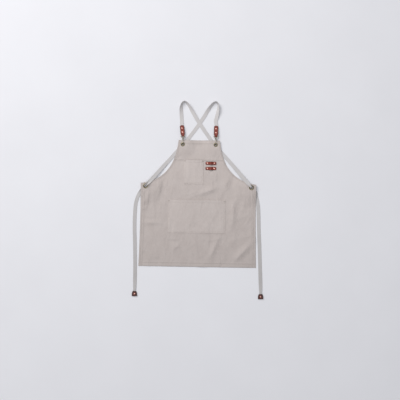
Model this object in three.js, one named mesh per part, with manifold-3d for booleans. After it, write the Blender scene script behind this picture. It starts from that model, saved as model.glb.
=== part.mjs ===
// Canvas apron with crossed straps, laid out flat: the bib at the top, the straps crossed
// above it and their free ends running down both sides as waist ties.
// Millimetres. X runs across, Y from the hem towards the bib, and the table is z = 0.

import * as THREE from "three";
import { mergeVertices } from "three/addons/utils/BufferGeometryUtils.js";
import Module from "manifold-3d";

const wasm = await Module();
wasm.setup();

// Driving dimensions
const GAP = 0.3; // clearance between pieces that touch
const LENGTH = 753; // hem to bib top
const HEM_WIDTH = 700;
const WAIST_WIDTH = 686; // across the two side corners
const SIDE_BOW = 2.5; // how far the sides draw in between hem and waist
const BIB_WIDTH = 246; // along the top edge
const ARMHOLE = { depth: 259, pullHalfWidth: 145, pullDepth: 232 }; // one quadratic curve
const CANVAS = 1.2; // thickness of one layer
const HEM = { bottom: 24, top: 22, side: 22, extra: 1, ramp: 4 }; // widths and added thickness
const WEBBING = { width: 22, thickness: 1.6 };
const LEATHER = 2;
const DRILL_LENGTH = 60; // long enough to pass through any layer
const MIDDLE_ABOVE_HEM = 400; // middle of the whole layout, measured up from the hem

// Eyelets, and the flat seats that lift the canvas where each one is pressed on
const BIB_EYELET = { x: 98, y: LENGTH - 25, hole: 6.5, flange: 12.5, lift: 8, reach: 90 };
const SIDE_EYELET = { x: 315, y: 477, hole: 9, flange: 15, lift: 12.5, reach: 120 };
const SEAT = { thickness: 1.8, flat: 26, rows: 17 }; // rows: grid lines this far from the eyelet
const FLANGE = { thickness: 1.1, barrel: 0.8, segments: 14 };

// Pockets: middle of the bottom edge, size, and how far the mouth stands open
const WAIST_POCKET = { x: -9, y: 201, width: 342, height: 197, gape: 8 };
const CHEST_POCKET = { x: -30.5, y: 493, width: 117, height: 144, gape: 7 };

const POCKET_SWELL = { across: 0.8, up: 1.5 }; // powers that shape the open mouth
const POCKET_MARGIN = { flat: 28, ramp: 16 }; // canvas around a pocket that its seams keep flat

// Leather loops on the bib, each held by a rivet near both ends
const LOOP = { x: 71.5, length: 64, width: 19, rivetSpread: 41, arch: 6.5, archHalf: 16, round: 6 };
const LOOP_HEIGHTS = { upper: 618, lower: 587 };

// Strap tabs: a leather strip folded round the eye's bar, with the webbing end between its leaves
const TAB = { length: 62, width: 25, neckWidth: 17, neckLength: 9, topRound: 9, loopRadius: 3.4 };
const TAB_RIVETS = { upper: 44, lower: 20 }; // measured up from the bar
const TAB_TOP_HEIGHT = 3.4; // middle of the tab's thickness at its upper end
const TAB_STATIONS = [12, 28, 44, TAB.length]; // webbing inside the tab, measured up from the bar
const TIP = { length: 27, topWidth: 19, bottomWidth: 31, rivetUp: 11, webbingWidth: 16 };
const TIP_STATIONS = [TIP.length + 8, TIP.length - 2, 3]; // webbing inside the tip, up from its fold
const LEAF_MIDDLE = WEBBING.thickness / 2 + GAP; // from the webbing's middle to a leaf's inner face
const RIVET = { cap: 4.2, height: 1.7, shank: 1.4, segments: 9 };

// Snap hook, seen from the side: a bow with a sprung gate, hung on a swivelling eye
const HOOK = {
  thickness: 5,
  wire: 4,
  bowHeight: 10, // clear height inside the bow
  middle: 11.2, // height of the bow's middle above the table
  bowEnd: 8.8, // centre of the bow's round end, measured up from the eyelet
  topEnd: 26, // centre of the bow's upper end
  nose: 13, // tip of the open limb
  pivot: 27,
  collarFrom: 33.5,
  collarTo: 39.5,
  collarRadius: 4.2,
};
const GATE = {
  thickness: 2.2,
  depth: 3,
  pin: 0.9, // radius
  thumb: 1.8, // height of the thumb piece
  thumbFrom: 15,
  thumbTo: 21,
  slotFrom: 24.2,
  slotTo: 29.6,
};
const EYE = {
  bar: 52, // middle of the straight bar, measured up from the eyelet
  halfWidth: 13,
  innerHalf: 9.5,
  thickness: 3,
  shank: 1.9, // radius
  head: 2.9, // radius
  headFrom: 27.3,
  headTo: 29.3,
};

// Grids of the soft pieces
const PANEL_GRID = { skirtRows: 13, armholeRows: 10, columns: 14 };
const EDGE_INSETS = [0, 11, HEM.side, HEM.side + HEM.ramp, 45]; // grid lines in from each side edge
const POCKET_GRID = { columns: 8, rows: 5 };
const STRAP_COLUMNS = 4;

// How the two sides lie: turn of each tab in degrees, and where each tie ends
const SIDES = {
  left: { sign: -1, tabTurn: -7, tieEnd: { x: -370.5, y: -177 } },
  right: { sign: 1, tabTurn: 1, tieEnd: { x: 381, y: -182.5 } },
};

// Turns rows of numbers into records with named columns
const table = (columns, rows) =>
  rows.map((row) => Object.fromEntries(columns.map((name, i) => [name, row[i]])));

// Main folds of the canvas: ridge from one point to another, its height and half width
const FOLDS = table(
  ["x0", "y0", "x1", "y1", "height", "halfWidth"],
  [
    [-296, 446, -332, 352, 7, 34],
    [-226, 512, -262, 430, 5, 32],
    [118, 476, 2, 428, 5, 28],
    [218, 412, 204, 214, 5, 36],
    [122, 172, 74, 44, 6, 34],
    [322, 150, 216, 30, 8, 38],
    [-334, 258, -214, 258, 4, 28],
    [182, 538, 158, 470, 4, 30],
  ],
);

// Where the straps pass under the bib, so that the canvas rides over them
const UNDER_RUNS = table(
  ["x0", "y0", "x1", "y1"],
  [
    [-62, 768, -160, 652],
    [60, 768, 160, 652],
  ],
);
const RIDGE = { height: WEBBING.thickness + 1.5 * GAP, flat: 15, reach: 34 };

// Route of each strap from its tab to the side eyelet on the far side. Rise is the height of the
// webbing's lowest edge, and bank its lean in degrees, where the edge on its right is raised.
const RUN_COLUMNS = ["x", "y", "rise", "bank"];
const SHOULDER_RUNS = {
  left: table(RUN_COLUMNS, [
    [-106, 866, 0.2, -2],
    [-108, 892, 0.3, -9],
    [-110, 918, 0.3, -22],
    [-111, 944, 0.2, -42],
    [-107, 967, 0.2, -62],
    [-95, 981, 0.2, -68],
    [-79, 975, 0.2, -62],
    [-63, 955, 0.3, -48],
    [-43, 922, 0.4, -20],
    [-20, 885, 2, -2],
    [0, 854, 2.3, 0],
    [26, 816, 1.4, 0],
    [52, 780, 0.1, 0],
    [73, 750, 0.1, 0],
    [102, 716, 0.1, 0],
    [135, 680, 0.1, 0],
    [172, 640, 0.8, 0],
    [200, 609, 2.8, 0],
    [227, 578, 5.6, 0],
    [255, 546, 9, 0],
  ]),
  right: table(RUN_COLUMNS, [
    [96, 870, 0.2, 4],
    [102, 898, 0.3, 14],
    [107, 926, 0.3, 36],
    [110, 950, 0.2, 58],
    [108, 970, 0.2, 70],
    [97, 982, 0.2, 72],
    [82, 976, 0.2, 60],
    [67, 959, 0.3, 42],
    [50, 935, 0.3, 20],
    [28, 897, 0.2, 4],
    [0, 854, 0.1, 0],
    [-26, 816, 0.1, 0],
    [-53, 780, 0.1, 0],
    [-76, 750, 0.1, 0],
    [-104, 718, 0.1, 0],
    [-138, 679, 0.1, 0],
    [-174, 637, 0.8, 0],
    [-202, 606, 2.8, 0],
    [-228, 576, 5.6, 0],
    [-255, 545, 9, 0],
  ]),
};

// The dip through a side eyelet: distance along the run from the hole's centre, height of the
// webbing's middle, and how tightly the webbing rolls up (one over the radius)
const EYELET_DIP = table(
  ["along", "z", "curl"],
  [
    [-46, 14.4, 0.02],
    [-28, 16.2, 0.09],
    [-15, 17.6, 0.17],
    [-8.4, 17.4, 0.2],
    [-4, 14, 0.2],
    [-1.2, 9, 0.19],
    [2.8, 4.6, 0.165],
    [9, 1.9, 0.12],
    [20, 1, 0.085],
    [36, 0.9, 0.05],
  ],
);

// Free end of each strap, from under the side edge down to its tip
const TIE_RUNS = {
  left: table(RUN_COLUMNS, [
    [-352, 430, 0.1, 0],
    [-364, 402, 0.1, 0],
    [-372, 368, 0.1, 0],
    [-376, 318, 0.1, 0],
    [-377, 240, 0.1, 0],
    [-372.5, 120, 0.1, 0],
    [-369.5, 0, 0.1, 0],
    [-369, -88, 0.1, 0],
  ]),
  right: table(RUN_COLUMNS, [
    [349, 428, 0.1, 0],
    [355, 400, 0.1, 0],
    [358, 366, 0.1, 0],
    [360, 316, 0.1, 0],
    [363, 232, 0.1, 0],
    [369.5, 112, 0.1, 0],
    [375, -8, 0.1, 0],
    [379, -96, 0.1, 0],
  ]),
};

// Materials
const canvasCloth = () =>
  new THREE.MeshStandardMaterial({ name: "canvas", color: 0xc2b9b1, roughness: 0.92, metalness: 0 });
const cottonWebbing = () =>
  new THREE.MeshStandardMaterial({ name: "webbing", color: 0xcac6c4, roughness: 0.9, metalness: 0 });
const brownLeather = () =>
  new THREE.MeshStandardMaterial({ name: "leather", color: 0x8f4a33, roughness: 0.55, metalness: 0 });
const agedBrass = () =>
  new THREE.MeshStandardMaterial({ name: "brass", color: 0x6f6a58, roughness: 0.4, metalness: 0.9 });
const copperRivet = () =>
  new THREE.MeshStandardMaterial({ name: "copper", color: 0xc98f80, roughness: 0.35, metalness: 0.9 });

// General helpers
const { clamp, degToRad, lerp } = THREE.MathUtils;
const smooth = (t) => THREE.MathUtils.smoothstep(t, 0, 1);
const evenly = (from, to, count) =>
  Array.from({ length: count + 1 }, (_, i) => lerp(from, to, i / count));

function piece(name, geometry, material) {
  geometry.computeVertexNormals();
  const mesh = new THREE.Mesh(geometry, material);
  mesh.name = name;
  return mesh;
}

// A closed sheet from two equal grids of points: rows run forward, columns run to the right
function sheetSolid(top, bottom) {
  const rows = top.length;
  const columns = top[0].length;
  const points = [...top.flat(), ...bottom.flat()];
  const under = rows * columns;
  const index = [];
  const quad = (a, b, c, d) => index.push(a, b, c, a, c, d);
  const at = (r, c) => r * columns + c;
  for (let r = 0; r < rows - 1; r++) {
    for (let c = 0; c < columns - 1; c++) {
      quad(at(r, c), at(r, c + 1), at(r + 1, c + 1), at(r + 1, c));
      quad(under + at(r, c), under + at(r + 1, c), under + at(r + 1, c + 1), under + at(r, c + 1));
    }
  }
  const wall = (a, b) => quad(under + a, under + b, b, a);
  for (let c = 0; c < columns - 1; c++) {
    wall(at(0, c), at(0, c + 1));
    wall(at(rows - 1, c + 1), at(rows - 1, c));
  }
  for (let r = 0; r < rows - 1; r++) {
    wall(at(r, columns - 1), at(r + 1, columns - 1));
    wall(at(r + 1, 0), at(r, 0));
  }
  const geometry = new THREE.BufferGeometry().setFromPoints(points);
  geometry.setIndex(index);
  return geometry;
}

// Boolean joins and cuts
function toSolid(geometry) {
  const bare = geometry.clone();
  bare.deleteAttribute("normal");
  bare.deleteAttribute("uv");
  const merged = mergeVertices(bare, 1e-4);
  const vertProperties = new Float32Array(merged.attributes.position.array);
  const triVerts = new Uint32Array(merged.index.array);
  return new wasm.Manifold(new wasm.Mesh({ numProp: 3, vertProperties, triVerts }));
}

function fromSolid(solid) {
  const mesh = solid.getMesh();
  const geometry = new THREE.BufferGeometry();
  geometry.setAttribute("position", new THREE.BufferAttribute(new Float32Array(mesh.vertProperties), 3));
  geometry.setIndex(new THREE.BufferAttribute(new Uint32Array(mesh.triVerts), 1));
  return geometry;
}

const cut = (geometry, cutters) =>
  fromSolid(cutters.reduce((solid, cutter) => solid.subtract(toSolid(cutter)), toSolid(geometry)));
const join = (geometry, others) =>
  fromSolid(others.reduce((solid, other) => solid.add(toSolid(other)), toSolid(geometry)));
const common = (geometry, other) => fromSolid(toSolid(geometry).intersect(toSolid(other)));

// Round bar or drill along Z, through the point (x, y)
function uprightBar(x, y, radius, length, segments = 10) {
  const bar = new THREE.CylinderGeometry(radius, radius, length, segments);
  return bar.rotateX(Math.PI / 2).translate(x, y, 0);
}

// Drill for a rivet's shank
const rivetDrill = (x, y) => uprightBar(x, y, RIVET.shank + GAP, DRILL_LENGTH, RIVET.segments);

// Round bar along Y, at a height above the table
function levelBar(radius, from, to, height, segments = 10) {
  const bar = new THREE.CylinderGeometry(radius, radius, to - from, segments);
  return bar.translate(0, (from + to) / 2, height);
}

// A flat shape drawn in X and Y, given a thickness that is centred on z = 0
function plate(shape, thickness, curveSegments = 6) {
  const options = { depth: thickness, bevelEnabled: false, curveSegments };
  return new THREE.ExtrudeGeometry(shape, options).translate(0, 0, -thickness / 2);
}

// A side view drawn in Y and Z, given a width that is centred on x = 0
function sideCut(shape, width, curveSegments = 6) {
  const axes = new THREE.Matrix4().makeBasis(
    new THREE.Vector3(0, 1, 0),
    new THREE.Vector3(0, 0, 1),
    new THREE.Vector3(1, 0, 0),
  );
  return plate(shape, width, curveSegments).applyMatrix4(axes);
}

function turned(profile, segments) {
  const points = profile.map(([radius, height]) => new THREE.Vector2(radius, height));
  return new THREE.LatheGeometry(points, segments).rotateX(Math.PI / 2);
}

// Canvas panel: outline, lie on the table and thickness
const CORNER_Y = LENGTH - ARMHOLE.depth;

const armholeDepth = (t) => 2 * t * (1 - t) * ARMHOLE.pullDepth + t * t * ARMHOLE.depth;
const armholeHalfWidth = (t) =>
  ((1 - t) ** 2 * BIB_WIDTH) / 2 + 2 * t * (1 - t) * ARMHOLE.pullHalfWidth + (t * t * WAIST_WIDTH) / 2;

// Place on the armhole curve at a depth below the bib's top edge
function armholePlace(depth) {
  const square = ARMHOLE.depth - 2 * ARMHOLE.pullDepth;
  const root = Math.sqrt(ARMHOLE.pullDepth ** 2 + square * depth);
  return (root - ARMHOLE.pullDepth) / square;
}

function nearSegment(run, x, y) {
  const dx = run.x1 - run.x0;
  const dy = run.y1 - run.y0;
  const along = ((x - run.x0) * dx + (y - run.y0) * dy) / (dx * dx + dy * dy);
  const t = clamp(along, 0, 1);
  return { along, distance: Math.hypot(x - run.x0 - t * dx, y - run.y0 - t * dy) };
}

function foldHeight(fold, x, y) {
  const { along, distance } = nearSegment(fold, x, y);
  const across = Math.cos((Math.PI / 2) * Math.min(1, distance / fold.halfWidth)) ** 2;
  const ends = Math.sin(Math.PI * clamp(along, 0.12, 0.88));
  return fold.height * across * ends;
}

function ridgeHeight(run, x, y) {
  const { distance } = nearSegment(run, x, y);
  return RIDGE.height * (1 - smooth((distance - RIDGE.flat) / (RIDGE.reach - RIDGE.flat)));
}

const SEATS = [BIB_EYELET, SIDE_EYELET].flatMap((eyelet) =>
  Object.values(SIDES).map(({ sign }) => ({ ...eyelet, x: sign * eyelet.x })),
);

function seatShare(seat, x, y, reach) {
  const distance = Math.hypot(x - seat.x, y - seat.y);
  return 1 - smooth((distance - SEAT.flat) / (reach - SEAT.flat));
}

// Share of a fold that is left beside a pocket, whose sewn edges hold the canvas flat
function besidePocket(pocket, x, y) {
  const dx = Math.max(0, Math.abs(x - pocket.x) - pocket.width / 2);
  const dy = Math.max(0, Math.abs(y - pocket.y - pocket.height / 2) - pocket.height / 2);
  return smooth((Math.hypot(dx, dy) - POCKET_MARGIN.flat) / POCKET_MARGIN.ramp);
}

function undersideHeight(x, y) {
  const held = besidePocket(CHEST_POCKET, x, y) * besidePocket(WAIST_POCKET, x, y);
  const folds = held * FOLDS.reduce((sum, fold) => sum + foldHeight(fold, x, y), 0);
  const ridges = Math.max(...UNDER_RUNS.map((run) => ridgeHeight(run, x, y)));
  return SEATS.reduce(
    (height, seat) => lerp(height, seat.lift, seatShare(seat, x, y, seat.reach)),
    folds + ridges,
  );
}

function panelThickness(x, y, inset) {
  const bottom = 1 - smooth((y - HEM.bottom) / HEM.ramp);
  const top = 1 - smooth((LENGTH - y - HEM.top) / HEM.ramp);
  const side = y > CORNER_Y ? 0 : 1 - smooth((inset - HEM.side) / HEM.ramp);
  const hemmed = CANVAS + HEM.extra * Math.max(bottom, top, side);
  const pressReach = SEAT.flat + 2 * HEM.ramp;
  return SEATS.reduce(
    (thickness, seat) => lerp(thickness, SEAT.thickness, seatShare(seat, x, y, pressReach)),
    hemmed,
  );
}

function panelRows() {
  const firstRow = HEM.bottom + HEM.ramp;
  const lastRow = SIDE_EYELET.y - SEAT.rows;
  const skirt = [0, HEM.bottom, ...evenly(firstRow, lastRow, PANEL_GRID.skirtRows), CORNER_Y];
  const skirtRows = skirt.map((y) => {
    const share = y / CORNER_Y;
    return { y, half: lerp(HEM_WIDTH, WAIST_WIDTH, share) / 2 - SIDE_BOW * Math.sin(Math.PI * share) };
  });
  const eyeletDepth = LENGTH - BIB_EYELET.y;
  const bibDepths = [eyeletDepth + SEAT.rows, HEM.top + HEM.ramp, HEM.top, eyeletDepth - SEAT.rows, 0];
  const bibPlaces = bibDepths.map(armholePlace);
  const curvePlaces = evenly(1, bibPlaces[0], PANEL_GRID.armholeRows).slice(1, -1);
  const armholeRows = [...curvePlaces, ...bibPlaces].map((t) => ({
    y: LENGTH - armholeDepth(t),
    half: armholeHalfWidth(t),
  }));
  return [...skirtRows, ...armholeRows];
}

function panelGeometry() {
  const innermost = EDGE_INSETS.at(-1);
  const places = panelRows().map(({ y, half }) => {
    const middle = evenly(innermost - half, half - innermost, PANEL_GRID.columns).slice(1, -1);
    return [
      ...EDGE_INSETS.map((inset) => ({ x: inset - half, y, inset })),
      ...middle.map((x) => ({ x, y, inset: half - Math.abs(x) })),
      ...EDGE_INSETS.toReversed().map((inset) => ({ x: half - inset, y, inset })),
    ];
  });
  const bottom = places.map((row) =>
    row.map(({ x, y }) => new THREE.Vector3(x, y, undersideHeight(x, y))),
  );
  const top = places.map((row, r) =>
    row.map(({ x, y, inset }, c) => new THREE.Vector3(x, y, bottom[r][c].z + panelThickness(x, y, inset))),
  );
  const eyeletHoles = SEATS.map((seat) =>
    uprightBar(seat.x, seat.y, seat.hole + FLANGE.barrel + GAP, DRILL_LENGTH, FLANGE.segments),
  );
  const rivetHoles = Object.values(LOOP_HEIGHTS).flatMap((y) =>
    [-1, 1].map((end) => rivetDrill(LOOP.x + (end * LOOP.rivetSpread) / 2, y)),
  );
  return cut(sheetSolid(top, bottom), [...eyeletHoles, ...rivetHoles]);
}

// Patch pocket: sewn flat along its sides and bottom, with a mouth that stands a little open
function pocketGeometry({ x, y, width, height, gape }) {
  const columns = evenly(0, 1, POCKET_GRID.columns);
  const rows = evenly(0, 1, POCKET_GRID.rows);
  const rise = (u, v) => gape * Math.sin(Math.PI * u) ** POCKET_SWELL.across * v ** POCKET_SWELL.up;
  const layer = (z) =>
    rows.map((v) =>
      columns.map((u) => new THREE.Vector3(x + (u - 0.5) * width, y + v * height, z + rise(u, v))),
    );
  return sheetSolid(layer(2 * CANVAS + GAP), layer(CANVAS + GAP));
}

// Eyelet: front and back flange on one barrel, centred on the canvas
function eyeletGeometry({ hole, flange }) {
  const face = SEAT.thickness / 2 + GAP;
  const front = face + FLANGE.thickness;
  const back = face + FLANGE.thickness * 0.8;
  const barrel = hole + FLANGE.barrel;
  const profile = [
    [hole, -face],
    [hole + 0.7, -back],
    [flange - 0.6, -back],
    [flange, -face],
    [barrel, -face],
    [barrel, face],
    [flange, face],
    [flange - 1.2, front],
    [hole + 0.9, front],
    [hole, face],
    [hole, -face],
  ];
  return turned(profile, FLANGE.segments);
}

// Rivet: domed cap above z = 0 and a shank that ends flush at the back
function rivetGeometry(length) {
  const { cap, height, shank, segments } = RIVET;
  const profile = [
    [0, -length],
    [shank, -length],
    [shank, 0],
    [cap, 0],
    [cap * 0.8, height * 0.7],
    [0, height],
  ];
  return turned(profile, segments);
}

// Leather strip folded back on itself: a hairpin in side view, trimmed to a plan outline
function foldedLeaf(length, width, loopRadius, outline) {
  const inner = LEAF_MIDDLE;
  const outer = LEAF_MIDDLE + LEATHER;
  const outerRadius = Math.max(outer, loopRadius + LEATHER);
  const innerRadius = outerRadius - LEATHER;
  const opening = Math.asin(Math.min(1, inner / innerRadius));
  const shoulder = Math.sqrt(outerRadius ** 2 - outer ** 2) * 2;
  const side = new THREE.Shape();
  side.moveTo(length, outer);
  side.lineTo(shoulder, outer);
  side.lineTo(0, outerRadius);
  side.absarc(0, 0, outerRadius, Math.PI / 2, (3 * Math.PI) / 2, false);
  side.lineTo(shoulder, -outer);
  side.lineTo(length, -outer);
  side.lineTo(length, -inner);
  side.lineTo(innerRadius * Math.cos(opening), -inner);
  side.absarc(0, 0, innerRadius, -opening, opening, true);
  side.lineTo(length, inner);
  side.closePath();
  return common(sideCut(side, width, 6), plate(outline, 4 * outerRadius, 3));
}

function tabGeometry() {
  const half = TAB.width / 2;
  const neck = TAB.neckWidth / 2;
  const below = -2 * TAB.loopRadius;
  const outline = new THREE.Shape();
  outline.moveTo(-neck, below);
  outline.lineTo(neck, below);
  outline.lineTo(neck, TAB.neckLength / 3);
  outline.lineTo(half, TAB.neckLength);
  outline.lineTo(half, TAB.length - TAB.topRound);
  outline.absarc(half - TAB.topRound, TAB.length - TAB.topRound, TAB.topRound, 0, Math.PI / 2, false);
  outline.absarc(TAB.topRound - half, TAB.length - TAB.topRound, TAB.topRound, Math.PI / 2, Math.PI, false);
  outline.lineTo(-half, TAB.neckLength);
  outline.lineTo(-neck, TAB.neckLength / 3);
  outline.closePath();
  const holes = Object.values(TAB_RIVETS).map((up) => rivetDrill(0, up));
  return cut(foldedLeaf(TAB.length, TAB.width, TAB.loopRadius, outline), holes);
}

// Bell-shaped leather cap on the end of a tie, folded along its bottom edge
function tipGeometry() {
  const half = TIP.bottomWidth / 2;
  const top = TIP.topWidth / 2;
  const outline = new THREE.Shape();
  outline.moveTo(-half, -LEATHER * 2);
  outline.lineTo(half, -LEATHER * 2);
  outline.lineTo(half, TIP.length * 0.2);
  outline.quadraticCurveTo(half, TIP.length * 0.75, top, TIP.length);
  outline.lineTo(-top, TIP.length);
  outline.quadraticCurveTo(-half, TIP.length * 0.75, -half, TIP.length * 0.2);
  outline.closePath();
  return cut(foldedLeaf(TIP.length, TIP.bottomWidth, 0, outline), [rivetDrill(0, TIP.rivetUp)]);
}

// Leather loop: flat at both rivets and arched between them
function loopGeometry() {
  const half = LOOP.length / 2;
  const along = [-half, ...evenly(-LOOP.archHalf, LOOP.archHalf, 8), half];
  const rise = (x) => {
    const share = Math.min(1, Math.abs(x) / LOOP.archHalf);
    return LOOP.arch * Math.cos((Math.PI / 2) * share) ** 2;
  };
  const layer = (z) =>
    [-1, 1].map((side) => along.map((x) => new THREE.Vector3(x, (side * LOOP.width) / 2, z + rise(x))));
  const strip = sheetSolid(layer(LEATHER), layer(0));
  const outline = new THREE.Shape();
  const x = half - LOOP.round;
  const y = LOOP.width / 2 - LOOP.round;
  outline.absarc(x, y, LOOP.round, 0, Math.PI / 2, false);
  outline.absarc(-x, y, LOOP.round, Math.PI / 2, Math.PI, false);
  outline.absarc(-x, -y, LOOP.round, Math.PI, 1.5 * Math.PI, false);
  outline.absarc(x, -y, LOOP.round, 1.5 * Math.PI, 2 * Math.PI, false);
  outline.closePath();
  const holes = [-1, 1].map((end) => rivetDrill((end * LOOP.rivetSpread) / 2, 0));
  return cut(common(strip, plate(outline, DRILL_LENGTH, 3)), holes);
}

// Hook body: a slot-shaped bow with a mouth, a collar for the swivel and a pin for the gate
function hookBodyGeometry() {
  const inner = HOOK.bowHeight / 2;
  const outer = inner + HOOK.wire;
  const slotOutline = (Type, radius) => {
    const path = new Type();
    path.absarc(HOOK.bowEnd, HOOK.middle, radius, Math.PI / 2, (3 * Math.PI) / 2, false);
    path.absarc(HOOK.topEnd, HOOK.middle, radius, -Math.PI / 2, Math.PI / 2, false);
    path.closePath();
    return path;
  };
  const shape = slotOutline(THREE.Shape, outer);
  shape.holes.push(slotOutline(THREE.Path, inner));
  const bow = sideCut(shape, HOOK.thickness, 7);
  const collar = levelBar(HOOK.collarRadius, HOOK.collarFrom, HOOK.collarTo, HOOK.middle);
  const limb = HOOK.middle + inner + HOOK.wire / 2;
  const boxIn = (width, from, to) =>
    new THREE.BoxGeometry(width, to - from, HOOK.wire + 1).translate(0, (from + to) / 2, limb);
  const mouth = boxIn(HOOK.thickness + 2, HOOK.nose, GATE.slotFrom);
  const slot = boxIn(GATE.thickness + 2 * GAP, GATE.slotFrom - 1, GATE.slotTo);
  const bore = levelBar(EYE.shank + GAP, HOOK.topEnd, HOOK.collarTo + 2, HOOK.middle);
  const pin = new THREE.CylinderGeometry(GATE.pin, GATE.pin, HOOK.thickness - 0.2, 10)
    .rotateZ(Math.PI / 2)
    .translate(0, HOOK.pivot, limb);
  return join(cut(join(bow, [collar]), [mouth, slot, bore]), [pin]);
}

// Gate: a lever on the pin that closes the mouth, with a raised thumb piece
function gateGeometry() {
  const half = GATE.depth / 2;
  const limb = HOOK.middle + HOOK.bowHeight / 2 + HOOK.wire / 2;
  const shape = new THREE.Shape();
  shape.moveTo(HOOK.nose + GAP, limb - half);
  shape.lineTo(HOOK.pivot, limb - half);
  shape.absarc(HOOK.pivot, limb, half, -Math.PI / 2, Math.PI / 2, false);
  shape.lineTo(GATE.thumbTo, limb + half);
  shape.lineTo(GATE.thumbTo - 2, limb + half + GATE.thumb);
  shape.lineTo(GATE.thumbFrom + 1, limb + half + GATE.thumb);
  shape.lineTo(GATE.thumbFrom, limb + half);
  shape.lineTo(HOOK.nose + GAP, limb + half);
  shape.closePath();
  const bore = new THREE.CylinderGeometry(GATE.pin + GAP, GATE.pin + GAP, DRILL_LENGTH, 12)
    .rotateZ(Math.PI / 2)
    .translate(0, HOOK.pivot, limb);
  return cut(sideCut(shape, GATE.thickness, 6), [bore]);
}

// Swivelling eye: a D-shaped ring on a shank whose head sits inside the bow
function eyeGeometry() {
  const wall = EYE.halfWidth - EYE.innerHalf;
  const barTop = EYE.bar + EYE.thickness / 2;
  const barBottom = EYE.bar - EYE.thickness / 2;
  const ringBottom = HOOK.collarTo + 2 * GAP;
  const shape = new THREE.Shape();
  shape.moveTo(-EYE.halfWidth, barTop);
  shape.lineTo(-EYE.halfWidth, barBottom - 2);
  shape.quadraticCurveTo(-EYE.halfWidth, ringBottom, 0, ringBottom);
  shape.quadraticCurveTo(EYE.halfWidth, ringBottom, EYE.halfWidth, barBottom - 2);
  shape.lineTo(EYE.halfWidth, barTop);
  shape.closePath();
  const hole = new THREE.Path();
  hole.moveTo(-EYE.innerHalf, barBottom);
  hole.lineTo(-EYE.innerHalf, barBottom - 2);
  hole.quadraticCurveTo(-EYE.innerHalf, ringBottom + wall, 0, ringBottom + wall);
  hole.quadraticCurveTo(EYE.innerHalf, ringBottom + wall, EYE.innerHalf, barBottom - 2);
  hole.lineTo(EYE.innerHalf, barBottom);
  hole.closePath();
  shape.holes.push(hole);
  const ring = plate(shape, EYE.thickness, 6).translate(0, 0, HOOK.middle);
  const shank = levelBar(EYE.shank, EYE.headFrom + 0.5, ringBottom + wall / 2, HOOK.middle, 12);
  const head = levelBar(EYE.head, EYE.headFrom, EYE.headTo, HOOK.middle, 12);
  return join(ring, [shank, head]);
}

// Frame of a strap tab: origin on the eye's bar, Y up the tab, dropping to the table
function tabFrame(side) {
  const { sign, tabTurn } = SIDES[side];
  const origin = new THREE.Vector3(sign * BIB_EYELET.x, BIB_EYELET.y + EYE.bar, HOOK.middle);
  const drop = Math.asin((HOOK.middle - TAB_TOP_HEIGHT) / TAB.length);
  const turn = degToRad(tabTurn);
  const level = Math.cos(drop);
  const up = new THREE.Vector3(Math.sin(turn) * level, Math.cos(turn) * level, -Math.sin(drop));
  const across = new THREE.Vector3().crossVectors(up, new THREE.Vector3(0, 0, 1)).normalize();
  const out = new THREE.Vector3().crossVectors(across, up);
  return new THREE.Matrix4().makeBasis(across, up, out).setPosition(origin);
}

// Frame of a tie's leather tip: origin on its fold, Y towards the apron, flat on the table
function tipFrame(side) {
  const end = SIDES[side].tieEnd;
  const last = TIE_RUNS[side].at(-1);
  const turn = Math.atan2(end.x - last.x, last.y - end.y);
  return new THREE.Matrix4().makeRotationZ(turn).setPosition(end.x, end.y, LEAF_MIDDLE + LEATHER);
}

// Stations of one strap, from inside its tab to inside the tip on the far side
function strapRoute(side) {
  const far = side === "left" ? "right" : "left";
  const station = (place, bank = 0, curl = 0, width = WEBBING.width) => ({ place, bank, curl, width });
  const inFrame = (frame, up) => new THREE.Vector3(0, up, 0).applyMatrix4(frame);
  const fromRow = ({ x, y, rise, bank }) => {
    const lean = degToRad(Math.abs(bank));
    const middle = (WEBBING.width * Math.sin(lean) + WEBBING.thickness * Math.cos(lean)) / 2;
    return station(new THREE.Vector3(x, y, rise + middle), bank);
  };

  const tab = TAB_STATIONS.map((up) => station(inFrame(tabFrame(side), up)));
  const shoulder = SHOULDER_RUNS[side].map(fromRow);

  const hole = new THREE.Vector3(SIDES[far].sign * SIDE_EYELET.x, SIDE_EYELET.y, 0);
  const along = shoulder.at(-1).place.clone().setZ(0).sub(hole).normalize().negate();
  const dip = EYELET_DIP.map((row) =>
    station(hole.clone().addScaledVector(along, row.along).setZ(row.z), 0, row.curl),
  );

  const tie = TIE_RUNS[far].map(fromRow);
  const tip = TIP_STATIONS.map((up) =>
    station(inFrame(tipFrame(far), up), 0, 0, TIP.webbingWidth),
  );
  return [...tab, ...shoulder, ...dip, ...tie, ...tip];
}

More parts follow.
